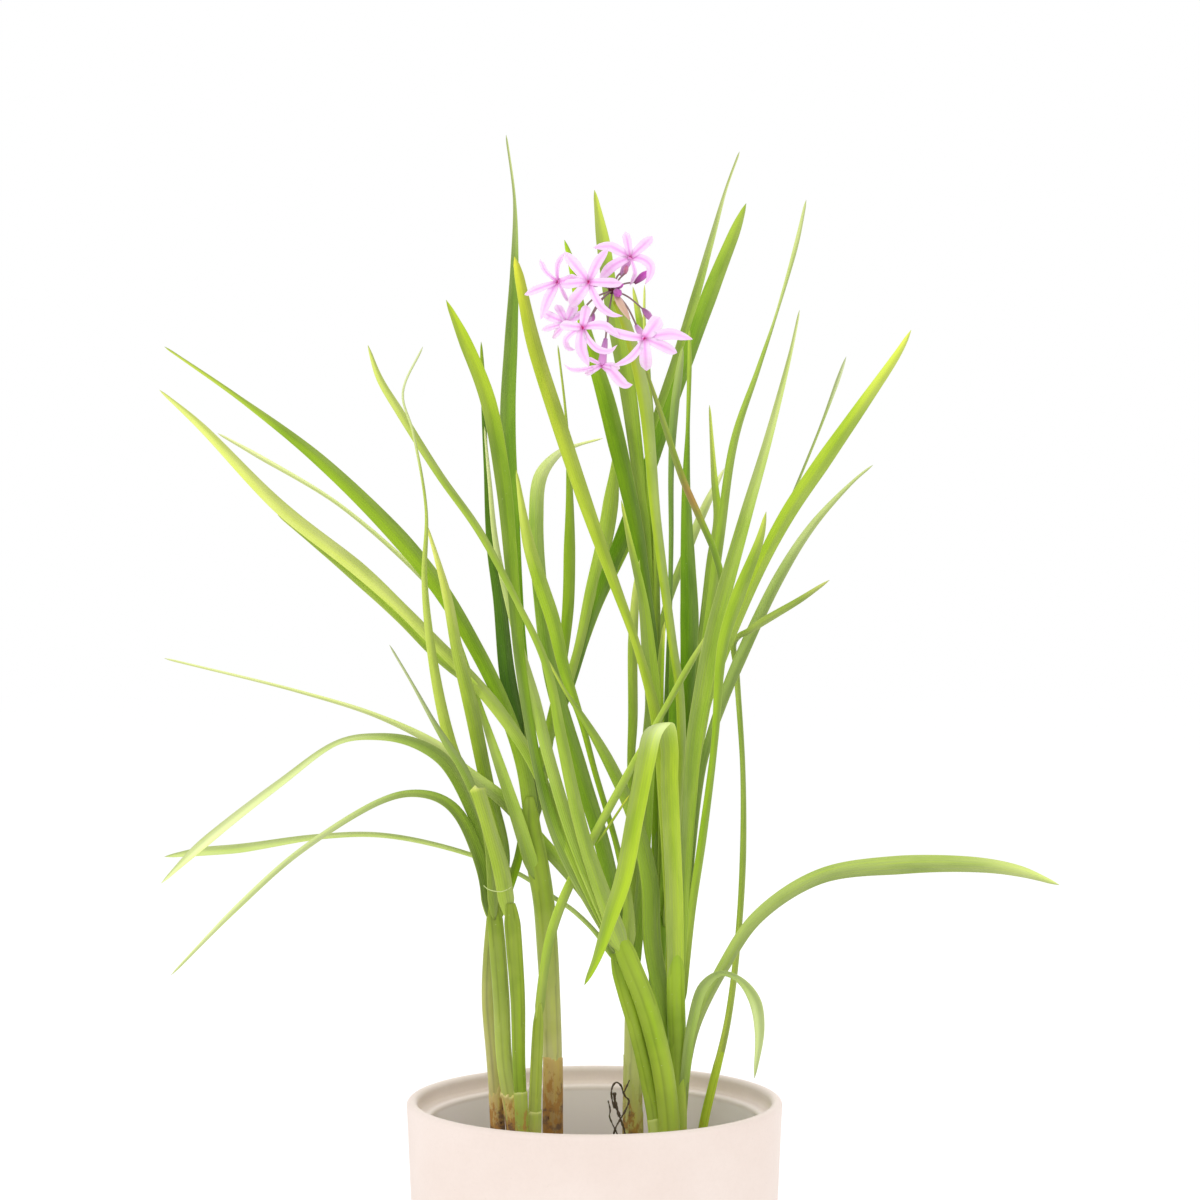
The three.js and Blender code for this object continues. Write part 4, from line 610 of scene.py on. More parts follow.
BUD_SHAPE = (0.4, 0.8, 1.05, 0.8, 0.15)
BUD_RIBS = 0.06
BUD_STEP = 0.42
BUD_STALK_WIDTH = 0.5
BUD_BOW = 0.8
BRACT = [(6.4, -12.6, 347.6, 1.4), (7.6, -14, 345.4, 2.4), (9.2, -14.6, 342.8, 2.2),
         (10.6, -15, 340.2, 0.7)]
BRACT_STEP = 0.5
BRACT_TURNS = (10, 30)
BRACT_TINT = colour(232, 202, 186)

# Dry fibres as (width, points), the pale thread round the left stems, and a fine yellow strand
FIBRES = [
    (0.55, [(6, -0.5, 103.5), (5.3, -0.5, 106), (5.1, -1, 108.9), (5.7, -1, 110.6), (6.6, -0.5, 111.3),
            (7.9, 0.5, 110.4), (8.5, 1.5, 108.7), (9.2, 2.5, 107.1), (10.3, 3, 105.9), (9.7, 2, 103.8),
            (7.9, 0.5, 100.5), (6.4, -1, 97.8), (5.6, -1, 95), (4.5, -1, 82)]),
    (0.9, [(6, 0, 108.2), (6.1, 0.2, 105.9), (6.6, 0, 103.8), (7.5, -0.3, 101.1)]),
    (0.6, [(7.3, -0.3, 101.6), (8.2, 0, 99.2), (9, 0, 96.5), (9.8, -1, 82)]),
    (0.45, [(4.1, -1.5, 105.8), (4.7, -1.5, 102.9), (4.5, -1.5, 101.1), (5.2, -1.8, 99.2),
            (6.1, -2, 97.3), (7, -2, 95.2), (8, -2, 82)]),
    (0.45, [(10.5, 3.5, 112), (9.9, 3, 110.6), (9.2, 2.7, 109), (8.7, 2.2, 107.8)]),
]
THREAD = [(-33.2, -12, 170.3), (-32, -15.5, 169.3), (-30.2, -18.5, 168.7), (-28.2, -19.2, 168.5),
          (-26.4, -18.5, 169), (-25, -16.5, 169.9)]
STRAND = [(0.5, -13.5, 182.5, 0.8), (5.5, -13, 190, 0.8), (10.5, -13, 197.5, 0.6)]
STRAND_TURNS = (10, 20)
THREAD_WIDTH = 0.28
THREAD_TINT = colour(200, 212, 146)
FIBRE_STEP = 0.5
FIBRE_TINT = colour(92, 76, 66)

# Patterns of the materials. The rates of a pattern on a strip are across, along and from strip to strip.
STRIP_SHARE = 0.6
VEINS = 7
STREAK_RATES = (5.0, 0.03, 7.3)
PATCH_RATES = (0.8, 0.06, 7.3)
FLECK_RATES = (4.0, 0.5, 7.3)
PETAL_RATES = (6.0, 0.12, 5.1)
LEAF_EDGE_SHARE = 0.45
LEAF_STREAK = colour(214, 226, 120)
LEAF_PATCH = colour(70, 96, 40)
LEAF_VEIN = colour(210, 224, 130)
LEAF_EDGE = colour(206, 216, 112)
LEAF_FLECK = colour(220, 226, 170)

# Stains at a stem's foot: the scales of the pattern, its detail and roughness, how much the stain's
# strength helps it, the low and high end of its ramp, the most it covers, and its colour. The last one
# is of cracks, which the relief follows too.
STAIN_LAYERS = [
    ((520, 520, 230), 5.0, 0.62, 0.26, 0.6, 0.7, 0.8, colour(176, 124, 62)),
    ((330, 330, 330), 6.0, 0.6, 0.36, 0.72, 0.88, 0.8, colour(106, 84, 74)),
    ((700, 700, 320), 5.0, 0.6, 0.2, 0.76, 0.81, 0.85, colour(60, 42, 34)),
]
POT_WARM = colour(230, 214, 205)
POT_PALE = colour(235, 221, 213)
POT_SHADE = colour(196, 180, 168)
# Painted light: the pot's inside wall, and in part the edge of its ledge, are paler than its outside, to
# stand in for the light inside the pot.
POT_INSIDE_PAINTED_LIGHT = colour(250, 240, 236)
SOIL_DARK = colour(42, 30, 23)
SOIL_BROWN = colour(78, 56, 40)
SOIL_DRY = colour(132, 104, 78)

# The stage
FLOOR_DROP = -0.0005
FLOOR_REACH = 6
SURROUND = 1.0
LENS = 79.1
SENSOR = 36
LIGHT_AIM = (0, 0, 0.2)
LIGHTS = [
    ("left_softbox", (-1.1, -1.1, 1.1), 0.9, 5),
    ("right_softbox", (1.3, -0.6, 0.7), 0.9, 2),
    ("back_softbox", (0.2, 1.3, 1.0), 1.0, 2.5),
]


def mix(first, second, share):
    return tuple(a + (b - a) * share for a, b in zip(first, second))


def blended(first, second, share):
    """Two tints mixed, where the share is an array."""
    return np.array(first) * (1 - share) + np.array(second) * share


def graded(places, stops, tints):
    """Tints carried from stop to stop."""
    return np.stack([np.interp(places, stops, channel) for channel in zip(*tints)], 1)


def eased(distance, reach, power, least):
    """Grows from the least share to 1 over a reach."""
    return least + (1 - least) * np.clip(distance / reach, 0, 1) ** power


def angles_round(sides):
    return np.arange(sides) / sides * 2 * math.pi


def wandering(along, rate, number, row):
    """A smooth random value at each place along a strip, which goes up and down about zero."""
    return np.array([noise.noise(Vector((at * rate, number, row))) for at in along])


def fanned(depth, up):
    """A written depth as it is after the clump fans out at that height."""
    height = min(max((up - FAN_FROM) / FAN_OVER, 0), 1)
    return depth * (1 + FAN_SHARE * height ** FAN_POWER)


def place(across, written, up, width=1):
    """Carries a point of the front view to its depth, and scales its width alike."""
    depth = fanned(written, up)
    scale = 1 + depth / -EYE.y
    return (EYE.x + (across - EYE.x) * scale, depth, EYE.z + (up - EYE.z) * scale), width * scale


def placed(point):
    return place(*point)[0]


def smoothed(values, reach=3):
    """The values with their corners rounded off, ends kept."""
    padded = np.pad(values, reach, mode="reflect", reflect_type="odd")
    weights = np.hanning(2 * reach + 3)[1:-1]
    return np.convolve(padded, weights / weights.sum(), mode="valid")


class Line:
    """A smooth line through a route's points, with evenly spaced stations."""

    def __init__(self, points, widths, step):
        """Each part is a cubic curve, with slopes m1 and m2 at its ends that come from its neighbours."""
        points = np.array(points, float)
        before = 2 * points[0] - points[1]
        after = 2 * points[-1] - points[-2]
        full = np.vstack([before, points, after])
        gaps = np.maximum(np.linalg.norm(np.diff(full, axis=0), axis=1), 1e-6) ** 0.5
        places, tangents, shares = [], [], []
        for part in range(len(points) - 1):
            a, b, c, d = full[part:part + 4]
            g0, g1, g2 = gaps[part:part + 3]
            m1 = ((b - a) / g0 - (c - a) / (g0 + g1) + (c - b) / g1) * g1
            m2 = ((c - b) / g1 - (d - b) / (g1 + g2) + (d - c) / g2) * g1
            count = max(3, math.ceil(np.linalg.norm(c - b) / step))
            last = part == len(points) - 2
            t = np.linspace(0, 1, count + 1)[:None if last else -1, None]
            cubic = 2 * b - 2 * c + m1 + m2
            square = -3 * b + 3 * c - 2 * m1 - m2
            places.append(b + m1 * t + square * t ** 2 + cubic * t ** 3)
            tangents.append(m1 + 2 * square * t + 3 * cubic * t ** 2)
            shares.append(part + t[:, 0])
        self.points = np.vstack(places)
        tangent = np.vstack(tangents)
        self.tangents = tangent / np.linalg.norm(tangent, axis=1, keepdims=True)
        at = np.concatenate(shares)
        self.t = at / (len(points) - 1)
        self.widths = smoothed(np.interp(at, range(len(points)), widths))
        steps = np.linalg.norm(np.diff(self.points, axis=0), axis=1)
        self.along = np.concatenate([[0], np.cumsum(steps)])

    def across(self, folded=False):
        """The direction across a blade that faces the front, or that folds over forwards."""
        t = self.tangents
        if folded:
            across = np.array([1.0, 0, 0]) - t * t[:, :1]
        else:
            across = np.stack([t[:, 2], np.zeros(len(t)), -t[:, 0]], 1)
        return across / np.linalg.norm(across, axis=1, keepdims=True)

    def turned(self, angles, folded=False):
        """The direction across, turned about the line by an angle at each station."""
        across = self.across(folded)
        return across * np.cos(angles)[:, None] + np.cross(self.tangents, across) * np.sin(angles)[:, None]

    def rings(self, across, aside, out):
        """A ring of points at each station, so far aside and so far out to the front of the line."""
        face = np.cross(self.tangents, across)
        return self.points[:, None] + across[:, None] * aside[..., None] + face[:, None] * out[..., None]

    def keep(self, chosen):
        self.points, self.tangents = self.points[chosen], self.tangents[chosen]
        self.along, self.widths = self.along[chosen], self.widths[chosen]


def line_of(route, step):
    points, widths = zip(*(place(*point) for point in route))
    return Line(points, widths, step)


class Skins:
    """Closed skins gathered into one mesh. Each point has a tint, a place on its strip and a stain."""

    def __init__(self):
        self.points, self.faces, self.tints, self.strips, self.stains = [], [], [], [], []
        self.count = 0

    def add(self, rings, tints, number, sides=0.0, along=0.0, stains=0.0):
        """rings is stations x points around x 3. tints is one colour, one a station or one a point."""
        stations, around = rings.shape[:2]
        index = self.count + np.arange(stations * around).reshape(stations, around)
        low, high = index[:-1], index[1:]
        quads = np.stack([low, np.roll(low, -1, 1), np.roll(high, -1, 1), high], -1).reshape(-1, 4)
        self.faces += quads.tolist() + [index[0, ::-1].tolist(), index[-1].tolist()]
        self.points.append(rings.reshape(-1, 3))
        tints = np.array(tints, float)
        if tints.ndim == 2:
            tints = tints[:, None]
        self.tints.append(np.broadcast_to(tints, rings.shape).reshape(-1, 3))
        strip = np.empty(rings.shape)
        strip[..., 0] = sides
        strip[..., 1] = np.reshape(along, (-1, 1))
        strip[..., 2] = number
        self.strips.append(strip.reshape(-1, 3))
        self.stains.append(np.broadcast_to(stains, (stations, around)).reshape(-1))
        self.count += stations * around

    def piece(self, name, material, nodes, slot):
        """One mesh object of all the skins, which stands for the named nodes."""
        mesh = bpy.data.meshes.new(name)
        mesh.from_pydata((np.vstack(self.points) * MM).tolist(), [], self.faces)
        tint = np.hstack([np.vstack(self.tints), np.ones((self.count, 1))])
        write(mesh, "tint", "FLOAT_COLOR", "color", tint)
        write(mesh, "strip", "FLOAT_VECTOR", "vector", np.vstack(self.strips))
        write(mesh, "stain", "FLOAT", "value", np.concatenate(self.stains))
        dressed(mesh, name, material, nodes)


def write(mesh, name, kind, field, values):
    attribute = mesh.attributes.new(name, kind, "POINT")
    attribute.data.foreach_set(field, np.asarray(values, np.float32).ravel())


def dressed(mesh, name, material, nodes):
    """A smooth piece with its material, which rides on the pot and stands for the named nodes."""
    mesh.materials.append(material)
    mesh.polygons.foreach_set("use_smooth", [True] * len(mesh.polygons))
    mesh.update()
    piece = bpy.data.objects.new(name, mesh)
    bpy.context.scene.collection.objects.link(piece)
    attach(piece, "root")
    if nodes:
        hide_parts(*nodes)


def along_look(look, t, rng):
    """The colour of a leaf at each share of its length, a little different for each leaf."""
    low, middle, tip, tip_share = LEAF_LOOKS[look]
    shift = 1 + rng.uniform(-LEAF_SHIFT, LEAF_SHIFT)
    low, middle, tip = colour(*low), colour(*middle), colour(*tip)
    stops = [0, LOW_SHARE, *(1 - tip_share * back for back, _ in TIP_STEPS), 1]
    tints = graded(t, stops, [low, middle, *(mix(middle, tip, much) for _, much in TIP_STEPS), tip]) * shift
    # Marks along the leaf; the folded leaf's pale one is a painted highlight on its bend.
    if look in LEAF_MARKS:
        centre, reach, tint = LEAF_MARKS[look]
        tints = blended(tints, tint, np.exp(-((t - centre) / reach) ** 2)[:, None])
    return tints


def across_look(tints, x, along, number):
    """The tints carried across the blade: one half darkened with painted shade, the other with a pale painted
    sheen.
    """
    side = 1 if number % 3 else -1
    drift = HALVES_DRIFT * wandering(along, DRIFT_RATE, number * 1.9, 4)
    lean = np.clip(side * np.tanh(HALVES_EDGE * x) + drift[:, None], -1, 1)[..., None]
    tints = tints[:, None] * (1 - SIDE_SHADE * lean)
    return blended(tints, LEAF_PAINTED_SHEEN, PAINTED_SHEEN_SHARE * np.clip(lean, 0, 1) ** 1.5)


def section(sides):
    """Points round a thin blade: places across it from -1 to 1, and half thickness with its sign."""
    angles = (np.arange(sides) + 0.5) / sides * 2 * math.pi
    x = np.cos(angles)
    return x, np.sign(np.sin(angles)) * (1 - np.abs(x) ** EDGE_POWER)


def add_blade(skins, route, turns, look, number, folded=False):
    """A strap leaf: a shallow channel with thin rounded edges, which narrows to its tip."""
    rng = random.Random(f"{SEED} {number}")
    line = line_of(route, BLADE_STEP)
    left = line.along[-1] - line.along
    wobble = BLADE_WOBBLE * wandering(line.along, WOBBLE_RATE, number * 3.7, 1)
    turn = np.radians(np.interp(line.t, (0, 1), turns) + wobble)
    cut = look == CUT_LOOK
    half = np.maximum(line.widths / np.cos(turn), NARROWEST) / 2
    half *= eased(left, *(CUT_EASE if cut else TIP_EASE)) * eased(line.along, *ROOT_EASE)
    half = half[:, None]
    x, thick = section(BLADE_SIDES)
    rib = np.minimum(RIB_THICKNESS, half * 0.8)
    rim = np.minimum(RIM_THICKNESS, half * 0.5)
    thickness = rim + (rib - rim) * (1 - x ** 2) * 0.75 + FINE_RIBS * np.cos(x * 4 * math.pi) * rib
    hollow = CHANNEL + BASE_CHANNEL * np.exp(-line.along / BASE_REACH)[:, None]
    out = hollow * half * (1 - x ** 2) + thick * thickness / 2
    rings = line.rings(line.turned(turn, folded), x * half, out)
    if cut:
        rings = rings - line.tangents[:, None] * (CUT_SLANT * np.exp(-left)[:, None] * x)[..., None]
    tints = across_look(along_look(look, line.t, rng), x, line.along, number)
    skins.add(rings, tints, number, x, line.along)


def add_tube(skins, line, radii, depths, tints, number, sides=STEM_SIDES, stains=0.0):
    """A round stalk with a half width and a half depth at each station, or at each point."""
    angles = angles_round(sides)
    radii, depths = (half.reshape(len(half), -1) for half in (radii, depths))
    rings = line.rings(line.across(), radii * np.cos(angles), depths * np.sin(angles))
    skins.add(rings, tints, number, (angles / math.pi - 1) * STRIP_SHARE, line.along, stains)


def add_sheath(skins, stem, route, number):
    """The stem's lower part: leaf bases wrapped round each other, flat where the leaves part."""
    line = line_of(route, STEM_STEP)
    left = (line.along[-1] - line.along)[:, None]
    ups = line.points[:, 2]
    angles = angles_round(SHEATH_SIDES)
    wrap = np.tile(1 + SHEATH_LOBES * np.cos(3 * angles + number), (len(ups), 1))
    painted_edge_shade = np.zeros_like(wrap)
    for edge_at in WRAP_EDGES:
        drift = WRAP_DRIFT * np.sin(line.along / WRAP_WAVE + number)[:, None]
        past = ((angles - edge_at - drift) / (2 * math.pi)) % 1
        wrap += WRAP_STEP * (past - 0.5)
        painted_edge_shade = np.maximum(painted_edge_shade, WRAP_PAINTED_SHADE * np.exp(-(past / WRAP_REACH) ** 2))
    half = line.widths[:, None] / 2 * wrap
    low, rim, top = (colour(*entry) for entry in stem["tints"])
    tints = graded(ups, SHEATH_STOPS, [low, mix(low, rim, FOOT_MIX), rim, top])
    # Painted shade along the foot of each wrapped edge darkens the tints there.
    tints = tints[:, None] * (1 - painted_edge_shade[..., None])
    stains = np.clip((STAIN_TOP - ups) / STAIN_FADE, 0, 1) * stem.get("stain", PLAIN_STAIN)
    add_tube(skins, line, half * eased(left, *NARROW_EASE), half * STEM_FLATNESS * eased(left, *FLAT_EASE),
             tints, number, SHEATH_SIDES, stains[:, None])


def add_sleeve(skins, route, top, lean, ragged, curl, pale, low, high, stain, number):
    """A dry outer sheath: a thin sleeve round a stem with a torn, slightly curled rim."""
    line = line_of(route, SLEEVE_STEP)
    line.keep(line.points[:, 2] <= top + abs(lean) + SLEEVE_ABOVE)
    phase = random.Random(f"{SEED} sleeve {number}").uniform(0, 6)
    angles = angles_round(SLEEVE_SIDES)
    teeth = sum(size * np.sin(count * angles + phase * share) for size, count, share in SLEEVE_TEETH)
    ups = line.points[:, 2][:, None]
    over = ups - (top + lean * np.cos(angles) + ragged * teeth)
    flare = curl * np.exp(-((over + 0.3) / RIM_SOFTNESS) ** 2)
    shell = np.where(over > 0, -TORN_DEPTH, SLEEVE_THICKNESS + flare)
    half = line.widths[:, None] / 2 + shell
    foot = SOIL_TOP + SLEEVE_FOOT
    tints = blended(colour(*low), colour(*high), np.clip((ups - foot) / (top - foot), 0, 1))[:, None]
    tints = blended(tints, SLEEVE_RIM, pale * np.exp(-(over / RIM_SOFTNESS) ** 2)[..., None])
    add_tube(skins, line, half, half * STEM_FLATNESS + shell * (1 - STEM_FLATNESS), tints, number,
             SLEEVE_SIDES, np.clip(-over / SLEEVE_STAIN_REACH, 0.05, 1) * stain)


def leafy_stem(name, stem, order, material):
    """One leafy stem: its sheaths, its leaves and the dry sleeves at its foot, as one piece."""
    skins = Skins()
    numbers = itertools.count(order * NUMBERS_PER_STEM)
    for route in stem["sheaths"]:
        add_sheath(skins, stem, route, next(numbers))
    if "folded" in stem:
        add_blade(skins, stem["folded"], FOLDED_TURNS, "folded", next(numbers), folded=True)
    for look, base, tip, route in stem["leaves"]:
        add_blade(skins, route, (base, tip), look, next(numbers))
    for which, *sleeve in stem.get("sleeves", []):
        add_sleeve(skins, stem["sheaths"][which], *sleeve, next(numbers))
    skins.piece(f"leafy_stem_{name}_fine", material, [f"leafy_stem_{name}"], "leaf")


def flower_stem(material):
    """The flower stem: a flattened round stalk, yellower on its left half."""
    skins = Skins()
    line = line_of(FLOWER_STEM, STEM_STEP)
    share = np.clip(STRIPE_START - np.cos(angles_round(STEM_SIDES)) * STRIPE_RISE, 0, 1)[None, :, None]
    half = line.widths / 2
    depths = np.minimum(half, FLOWER_STEM_DEPTH / 2 * half / half[0])
    tints = blended(FLOWER_STEM_GREEN, FLOWER_STEM_STRIPE, share)
    add_tube(skins, line, half, depths, tints, FLOWER_STEM_NUMBER)
    skins.piece("flower_stem_fine", material, ["flower_stem"], "stalk")


def petal_line(throat, width, points):
    """The middle line of a petal: it bows forward from the throat, then sweeps back to its tip."""
    route = [(throat[0], 0, throat[2])] + [(across, 0, up) for across, up in points]
    outline = Line(route, [width] * len(route), PETAL_STEP)
    length = outline.along[-1]
    across, up = (np.interp(PETAL_SHARES, outline.along / length, outline.points[:, axis]) for axis in (0, 2))
    back = min(math.sqrt(max(PETAL_LENGTH ** 2 - length ** 2, 1)), PETAL_SWEEP_BACK)
    depths = (PETAL_ROOT_IN, -PETAL_BOW, -PETAL_BOW / 2, back * PETAL_TURN_SHARE, back)
    return line_of([(x, throat[1] + depth, z, width) for x, depth, z in zip(across, depths, up)], PETAL_STEP)


def add_petal(skins, throat, width, points, number):
    """A petal: narrow at the throat, widest past its middle, with a deeper line down its middle."""
    rng = random.Random(f"{SEED} petal {number}")
    line = petal_line(throat, width, points)
    t = line.along / line.along[-1]
    roll = math.radians(rng.uniform(-PETAL_ROLL, PETAL_ROLL))
    half = smoothed(np.interp(t, PETAL_SHAPE_AT, PETAL_SHAPE) * line.widths / 2)
    half = np.maximum(half, PETAL_NARROWEST)[:, None]
    x, thick = section(PETAL_SIDES)
    groove = -PETAL_GROOVE * np.exp(-(x / PETAL_GROOVE_WIDTH) ** 2) * half
    cup = PETAL_CUP * x ** 2 * half * (1 - 0.6 * t)[:, None]
    wave = PETAL_WAVE * np.sin(t * 9 + number)[:, None] * x ** 3
    out = groove - cup + wave + thick * np.minimum(PETAL_THICKNESS, half) / 2
    stripe = (np.exp(-(x / PETAL_LINE_WIDTH) ** 2) * (1 - t * 0.8)[:, None])[..., None]
    root = np.exp(-(line.along / PETAL_ROOT_REACH) ** 2)[:, None, None]
    tints = blended(blended(PETAL_PALE, PETAL_LINE, stripe), PETAL_THROAT, root)
    rings = line.rings(line.turned(np.full(len(t), roll)), x * half, out)
    skins.add(rings, tints * (1 + rng.uniform(*PETAL_SHIFT)), number, x, line.along)


def add_stalk(skins, points, width, tint, number, sides=10):
    """A thin stalk through points that are already in their places."""
    line = Line(points, [width] * len(points), STALK_STEP)
    add_tube(skins, line, line.widths / 2, line.widths / 2, tint, number, sides)


def add_ribbed_tube(skins, line, ribs, low, high, number):
    """A tube or a bud with six faint ribs, which goes from one tint to another along its length."""
    half = line.widths[:, None] / 2 * (1 + ribs * np.cos(6 * angles_round(TUBE_SIDES)))
    share = (line.along / line.along[-1])[:, None]
    add_tube(skins, line, half, half, blended(low, high, share), number, TUBE_SIDES)


def add_floret(petals, stalks, throat, front, strips, number):
    """A floret: its stalk from the knob, its ribbed tube, its petals and its crown."""
    knob, mouth = Vector(KNOB), Vector(throat)
    facing = ((mouth - knob).normalized() + Vector((0, -front, 0))).normalized()
    root = mouth - facing * TUBE_LENGTH
    bend = knob.lerp(root, 0.6) + Vector((0, 0, PEDICEL_BOW))
    stalk_route = [placed(point) for point in (knob, bend, root.lerp(mouth, 0.15))]
    add_stalk(stalks, stalk_route, PEDICEL_WIDTH, PEDICEL_TINT, number)
    line = Line([placed(root.lerp(mouth, share)) for share in TUBE_AT], TUBE_WIDTHS, STALK_STEP)
    add_ribbed_tube(petals, line, TUBE_RIBS, TUBE_ROOT, TUBE_MOUTH, number)
    for order, (width, *points) in enumerate(strips):
        add_petal(petals, throat, width, points, number * 10 + order)
    add_crown(petals, np.array(placed(throat)), facing, number)


def add_crown(skins, mouth, facing, number):
    """The small fleshy crown round the throat: a low ring of six lobes about a dark opening."""
    side = facing.orthogonal().normalized()
    other = facing.cross(side)
    angles = angles_round(CROWN_SIDES)
    turned = np.outer(np.cos(angles), side) + np.outer(np.sin(angles), other)
    lobes = (1 + CROWN_LOBES * np.cos(6 * angles))[:, None]
    forward = np.array(facing)
    rings = [mouth + forward * height + turned * radius * lobes for radius, height, _ in CROWN_PROFILE]
    skins.add(np.array(rings), [tint for *_, tint in CROWN_PROFILE], number)


def add_bud(petals, stalks, root, tip, width, root_tint, tip_tint, number):
    """A closed bud on its own stalk from the knob."""
    across, depth, up = mix(root, KNOB, 0.5)
    stalk_route = [placed(point) for point in (KNOB, (across, depth, up + BUD_BOW), mix(root, tip, 0.1))]
    add_stalk(stalks, stalk_route, BUD_STALK_WIDTH, PEDICEL_TINT, number)
    line = Line([placed(mix(root, tip, share)) for share in BUD_AT],
                [width * share for share in BUD_SHAPE], BUD_STEP)
    add_ribbed_tube(petals, line, BUD_RIBS, colour(*root_tint), colour(*tip_tint), number)


def add_knob(stalks):
    """The dark knob where the stalks meet: a lumpy ball of short scars."""
    polar = np.linspace(math.pi - 0.06, 0.06, KNOB_LEVELS)[:, None]
    turn = angles_round(KNOB_SIDES)
    heights = np.tile(np.cos(polar) * KNOB_SQUAT, KNOB_SIDES)
    ball = np.stack([np.sin(polar) * np.cos(turn), np.sin(polar) * np.sin(turn), heights], -1)
    radius = KNOB_RADIUS * (1 + KNOB_LUMPS * np.sin(5 * turn) * np.sin(4 * polar))
    stalks.add(np.array(placed(KNOB)) + ball * radius[..., None], KNOB_TINT, KNOB_NUMBER)


def add_bract(skins):
    """The papery bract below the knob."""
    line = line_of(BRACT, BRACT_STEP)
    half = np.maximum(line.widths, NARROWEST)[:, None] / 2
    x, thick = section(PETAL_SIDES)
    out = -0.4 * half * x ** 2 + thick * 0.12 + 0.08 * np.sin(line.along * 3)[:, None] * x
    across = line.turned(np.radians(np.interp(line.t, (0, 1), BRACT_TURNS)))
    skins.add(line.rings(across, x * half, out), BRACT_TINT, BRACT_NUMBER, x, line.along)


def flower_head(petal_material, stalk_material):
    """The umbel: florets and buds in one piece, and their stalks, knob and bract in another."""
    petals, stalks = Skins(), Skins()
    for number, floret in enumerate(FLORETS, FLORET_NUMBER):
        add_floret(petals, stalks, *floret, number)
    for number, bud in enumerate(BUDS, BUD_NUMBER):
        add_bud(petals, stalks, *bud, number)
    add_knob(stalks)
    add_bract(stalks)
    petals.piece("florets_and_buds", petal_material, ["flower_head"], "petal")
    stalks.piece("flower_stalks_and_knob", stalk_material, ["flower_head"], "stalk")


def lathe(name, rows, sides, material, node):
    """A turned piece about Z, closed on the axis. A row is its radius, its height or a function that
    gives the height at a place, and its shade: its share of the painted light that makes a pot's inside
    paler."""
    vertices, painted_light_shares, rings, faces = [], [], [], []
    for radius, height, shade in rows:
        count = sides if radius else 1
        rings.append(range(len(vertices), len(vertices) + count))
        painted_light_shares += [shade] * count
        for side in range(count):
            angle = side / sides * 2 * math.pi
            x, y = radius * math.cos(angle), radius * math.sin(angle)
            vertices.append((x * MM, y * MM, (height(x, y) if callable(height) else height) * MM))
    for low, high in zip(rings, rings[1:]):
        for side in range(sides):
            beside = (side + 1) % sides
            corners = [high[side % len(high)], low[side % len(low)], low[beside % len(low)],
                       high[beside % len(high)]]
            faces.append(list(dict.fromkeys(corners)))
    mesh = bpy.data.meshes.new(name)
    mesh.from_pydata(vertices, [], faces)
    if any(painted_light_shares):
        write(mesh, "shade", "FLOAT", "value", painted_light_shares)
    dressed(mesh, name, material, [node])


def outer_radius(height):
    return BASE_RADIUS + (RIM_RADIUS - BASE_RADIUS) * height / POT_HEIGHT


def inner_radius(height):
    share = (height - FLOOR_THICKNESS) / (POT_HEIGHT - LEDGE_DEPTH - FLOOR_THICKNESS)
    return FLOOR_RADIUS + (THROAT_RADIUS - FLOOR_RADIUS) * share


def arc(centre_radius, centre_height, wide, high, start, end, steps):
    """Points of an elliptic arc in a profile, from start to end in degrees."""
    angles = [math.radians(start + (end - start) * step / steps) for step in range(steps + 1)]
    return [(centre_radius + wide * math.cos(angle), centre_height + high * math.sin(angle))
            for angle in angles]


def pot(material):
    """The pot: straight sides with a slight taper, a rounded lip, and a step inside below the lip."""
    ledge = POT_HEIGHT - LEDGE_TOP
    lip_foot = POT_HEIGHT - LIP_ROUND
    throat = RIM_RADIUS - LIP_WIDTH
    corner, root_near, root_far = LEDGE_ROOT
    heights = range(WALL_STEP, WALL_TOP + 1, WALL_STEP)
    # The last number of each part is its share of the painted light that makes the pot's inside paler.
    parts = [
        ([(radius, 0) for radius in UNDERSIDE_RINGS], 0),
        (arc(BASE_RADIUS - FOOT_ROUND + FOOT_SPREAD, FOOT_ROUND, FOOT_ROUND, FOOT_ROUND, -90, 0, 6), 0),
        ([(outer_radius(height), height) for height in heights], 0),
        (arc(RIM_RADIUS - LIP_WIDTH / 2, lip_foot, LIP_WIDTH / 2, LIP_ROUND, 0, 180, 12), 0),
        ([(throat, lip_foot - LIP_EASE), (throat, ledge + LIP_EASE), (throat - corner, ledge + corner)], 0),
        ([(throat - root_near, ledge), (throat - root_far, ledge)], 0),
        (arc(THROAT_RADIUS + LEDGE_EASE, ledge - LEDGE_EASE, LEDGE_EASE, LEDGE_EASE, 90, 180, 4), 0.3),
        ([(THROAT_RADIUS, POT_HEIGHT - LEDGE_DEPTH - THROAT_DROP)], 1),
        ([(inner_radius(height), height) for height in heights[-2:0:-1]], 1),
        (arc(inner_radius(FLOOR_THICKNESS) - HEEL_ROUND, FLOOR_THICKNESS + HEEL_ROUND, HEEL_ROUND, HEEL_ROUND,
             0, -90, 3), 1),
        ([(radius, FLOOR_THICKNESS) for radius in FLOOR_RINGS], 1),
    ]
    rows = [(*point, shade) for points, shade in parts for point in points]
    lathe("pot_fine", rows, POT_SIDES, material, "pot")


def soil_height(x, y):
    """How high the soil's surface is at a place: a low crown with crumbs."""
    spot = Vector((x, y, 0))
    crumbly = noise.fractal(spot * GRAIN_RATE, 0.8, 2.1, 4) * GRAIN_HEIGHT
    lumps = abs(noise.noise(spot * LUMP_RATE)) * LUMP_HEIGHT
    return SOIL_TOP - SOIL_CROWN * (math.hypot(x, y) / THROAT_RADIUS) ** 2 + crumbly + lumps - SOIL_SINK


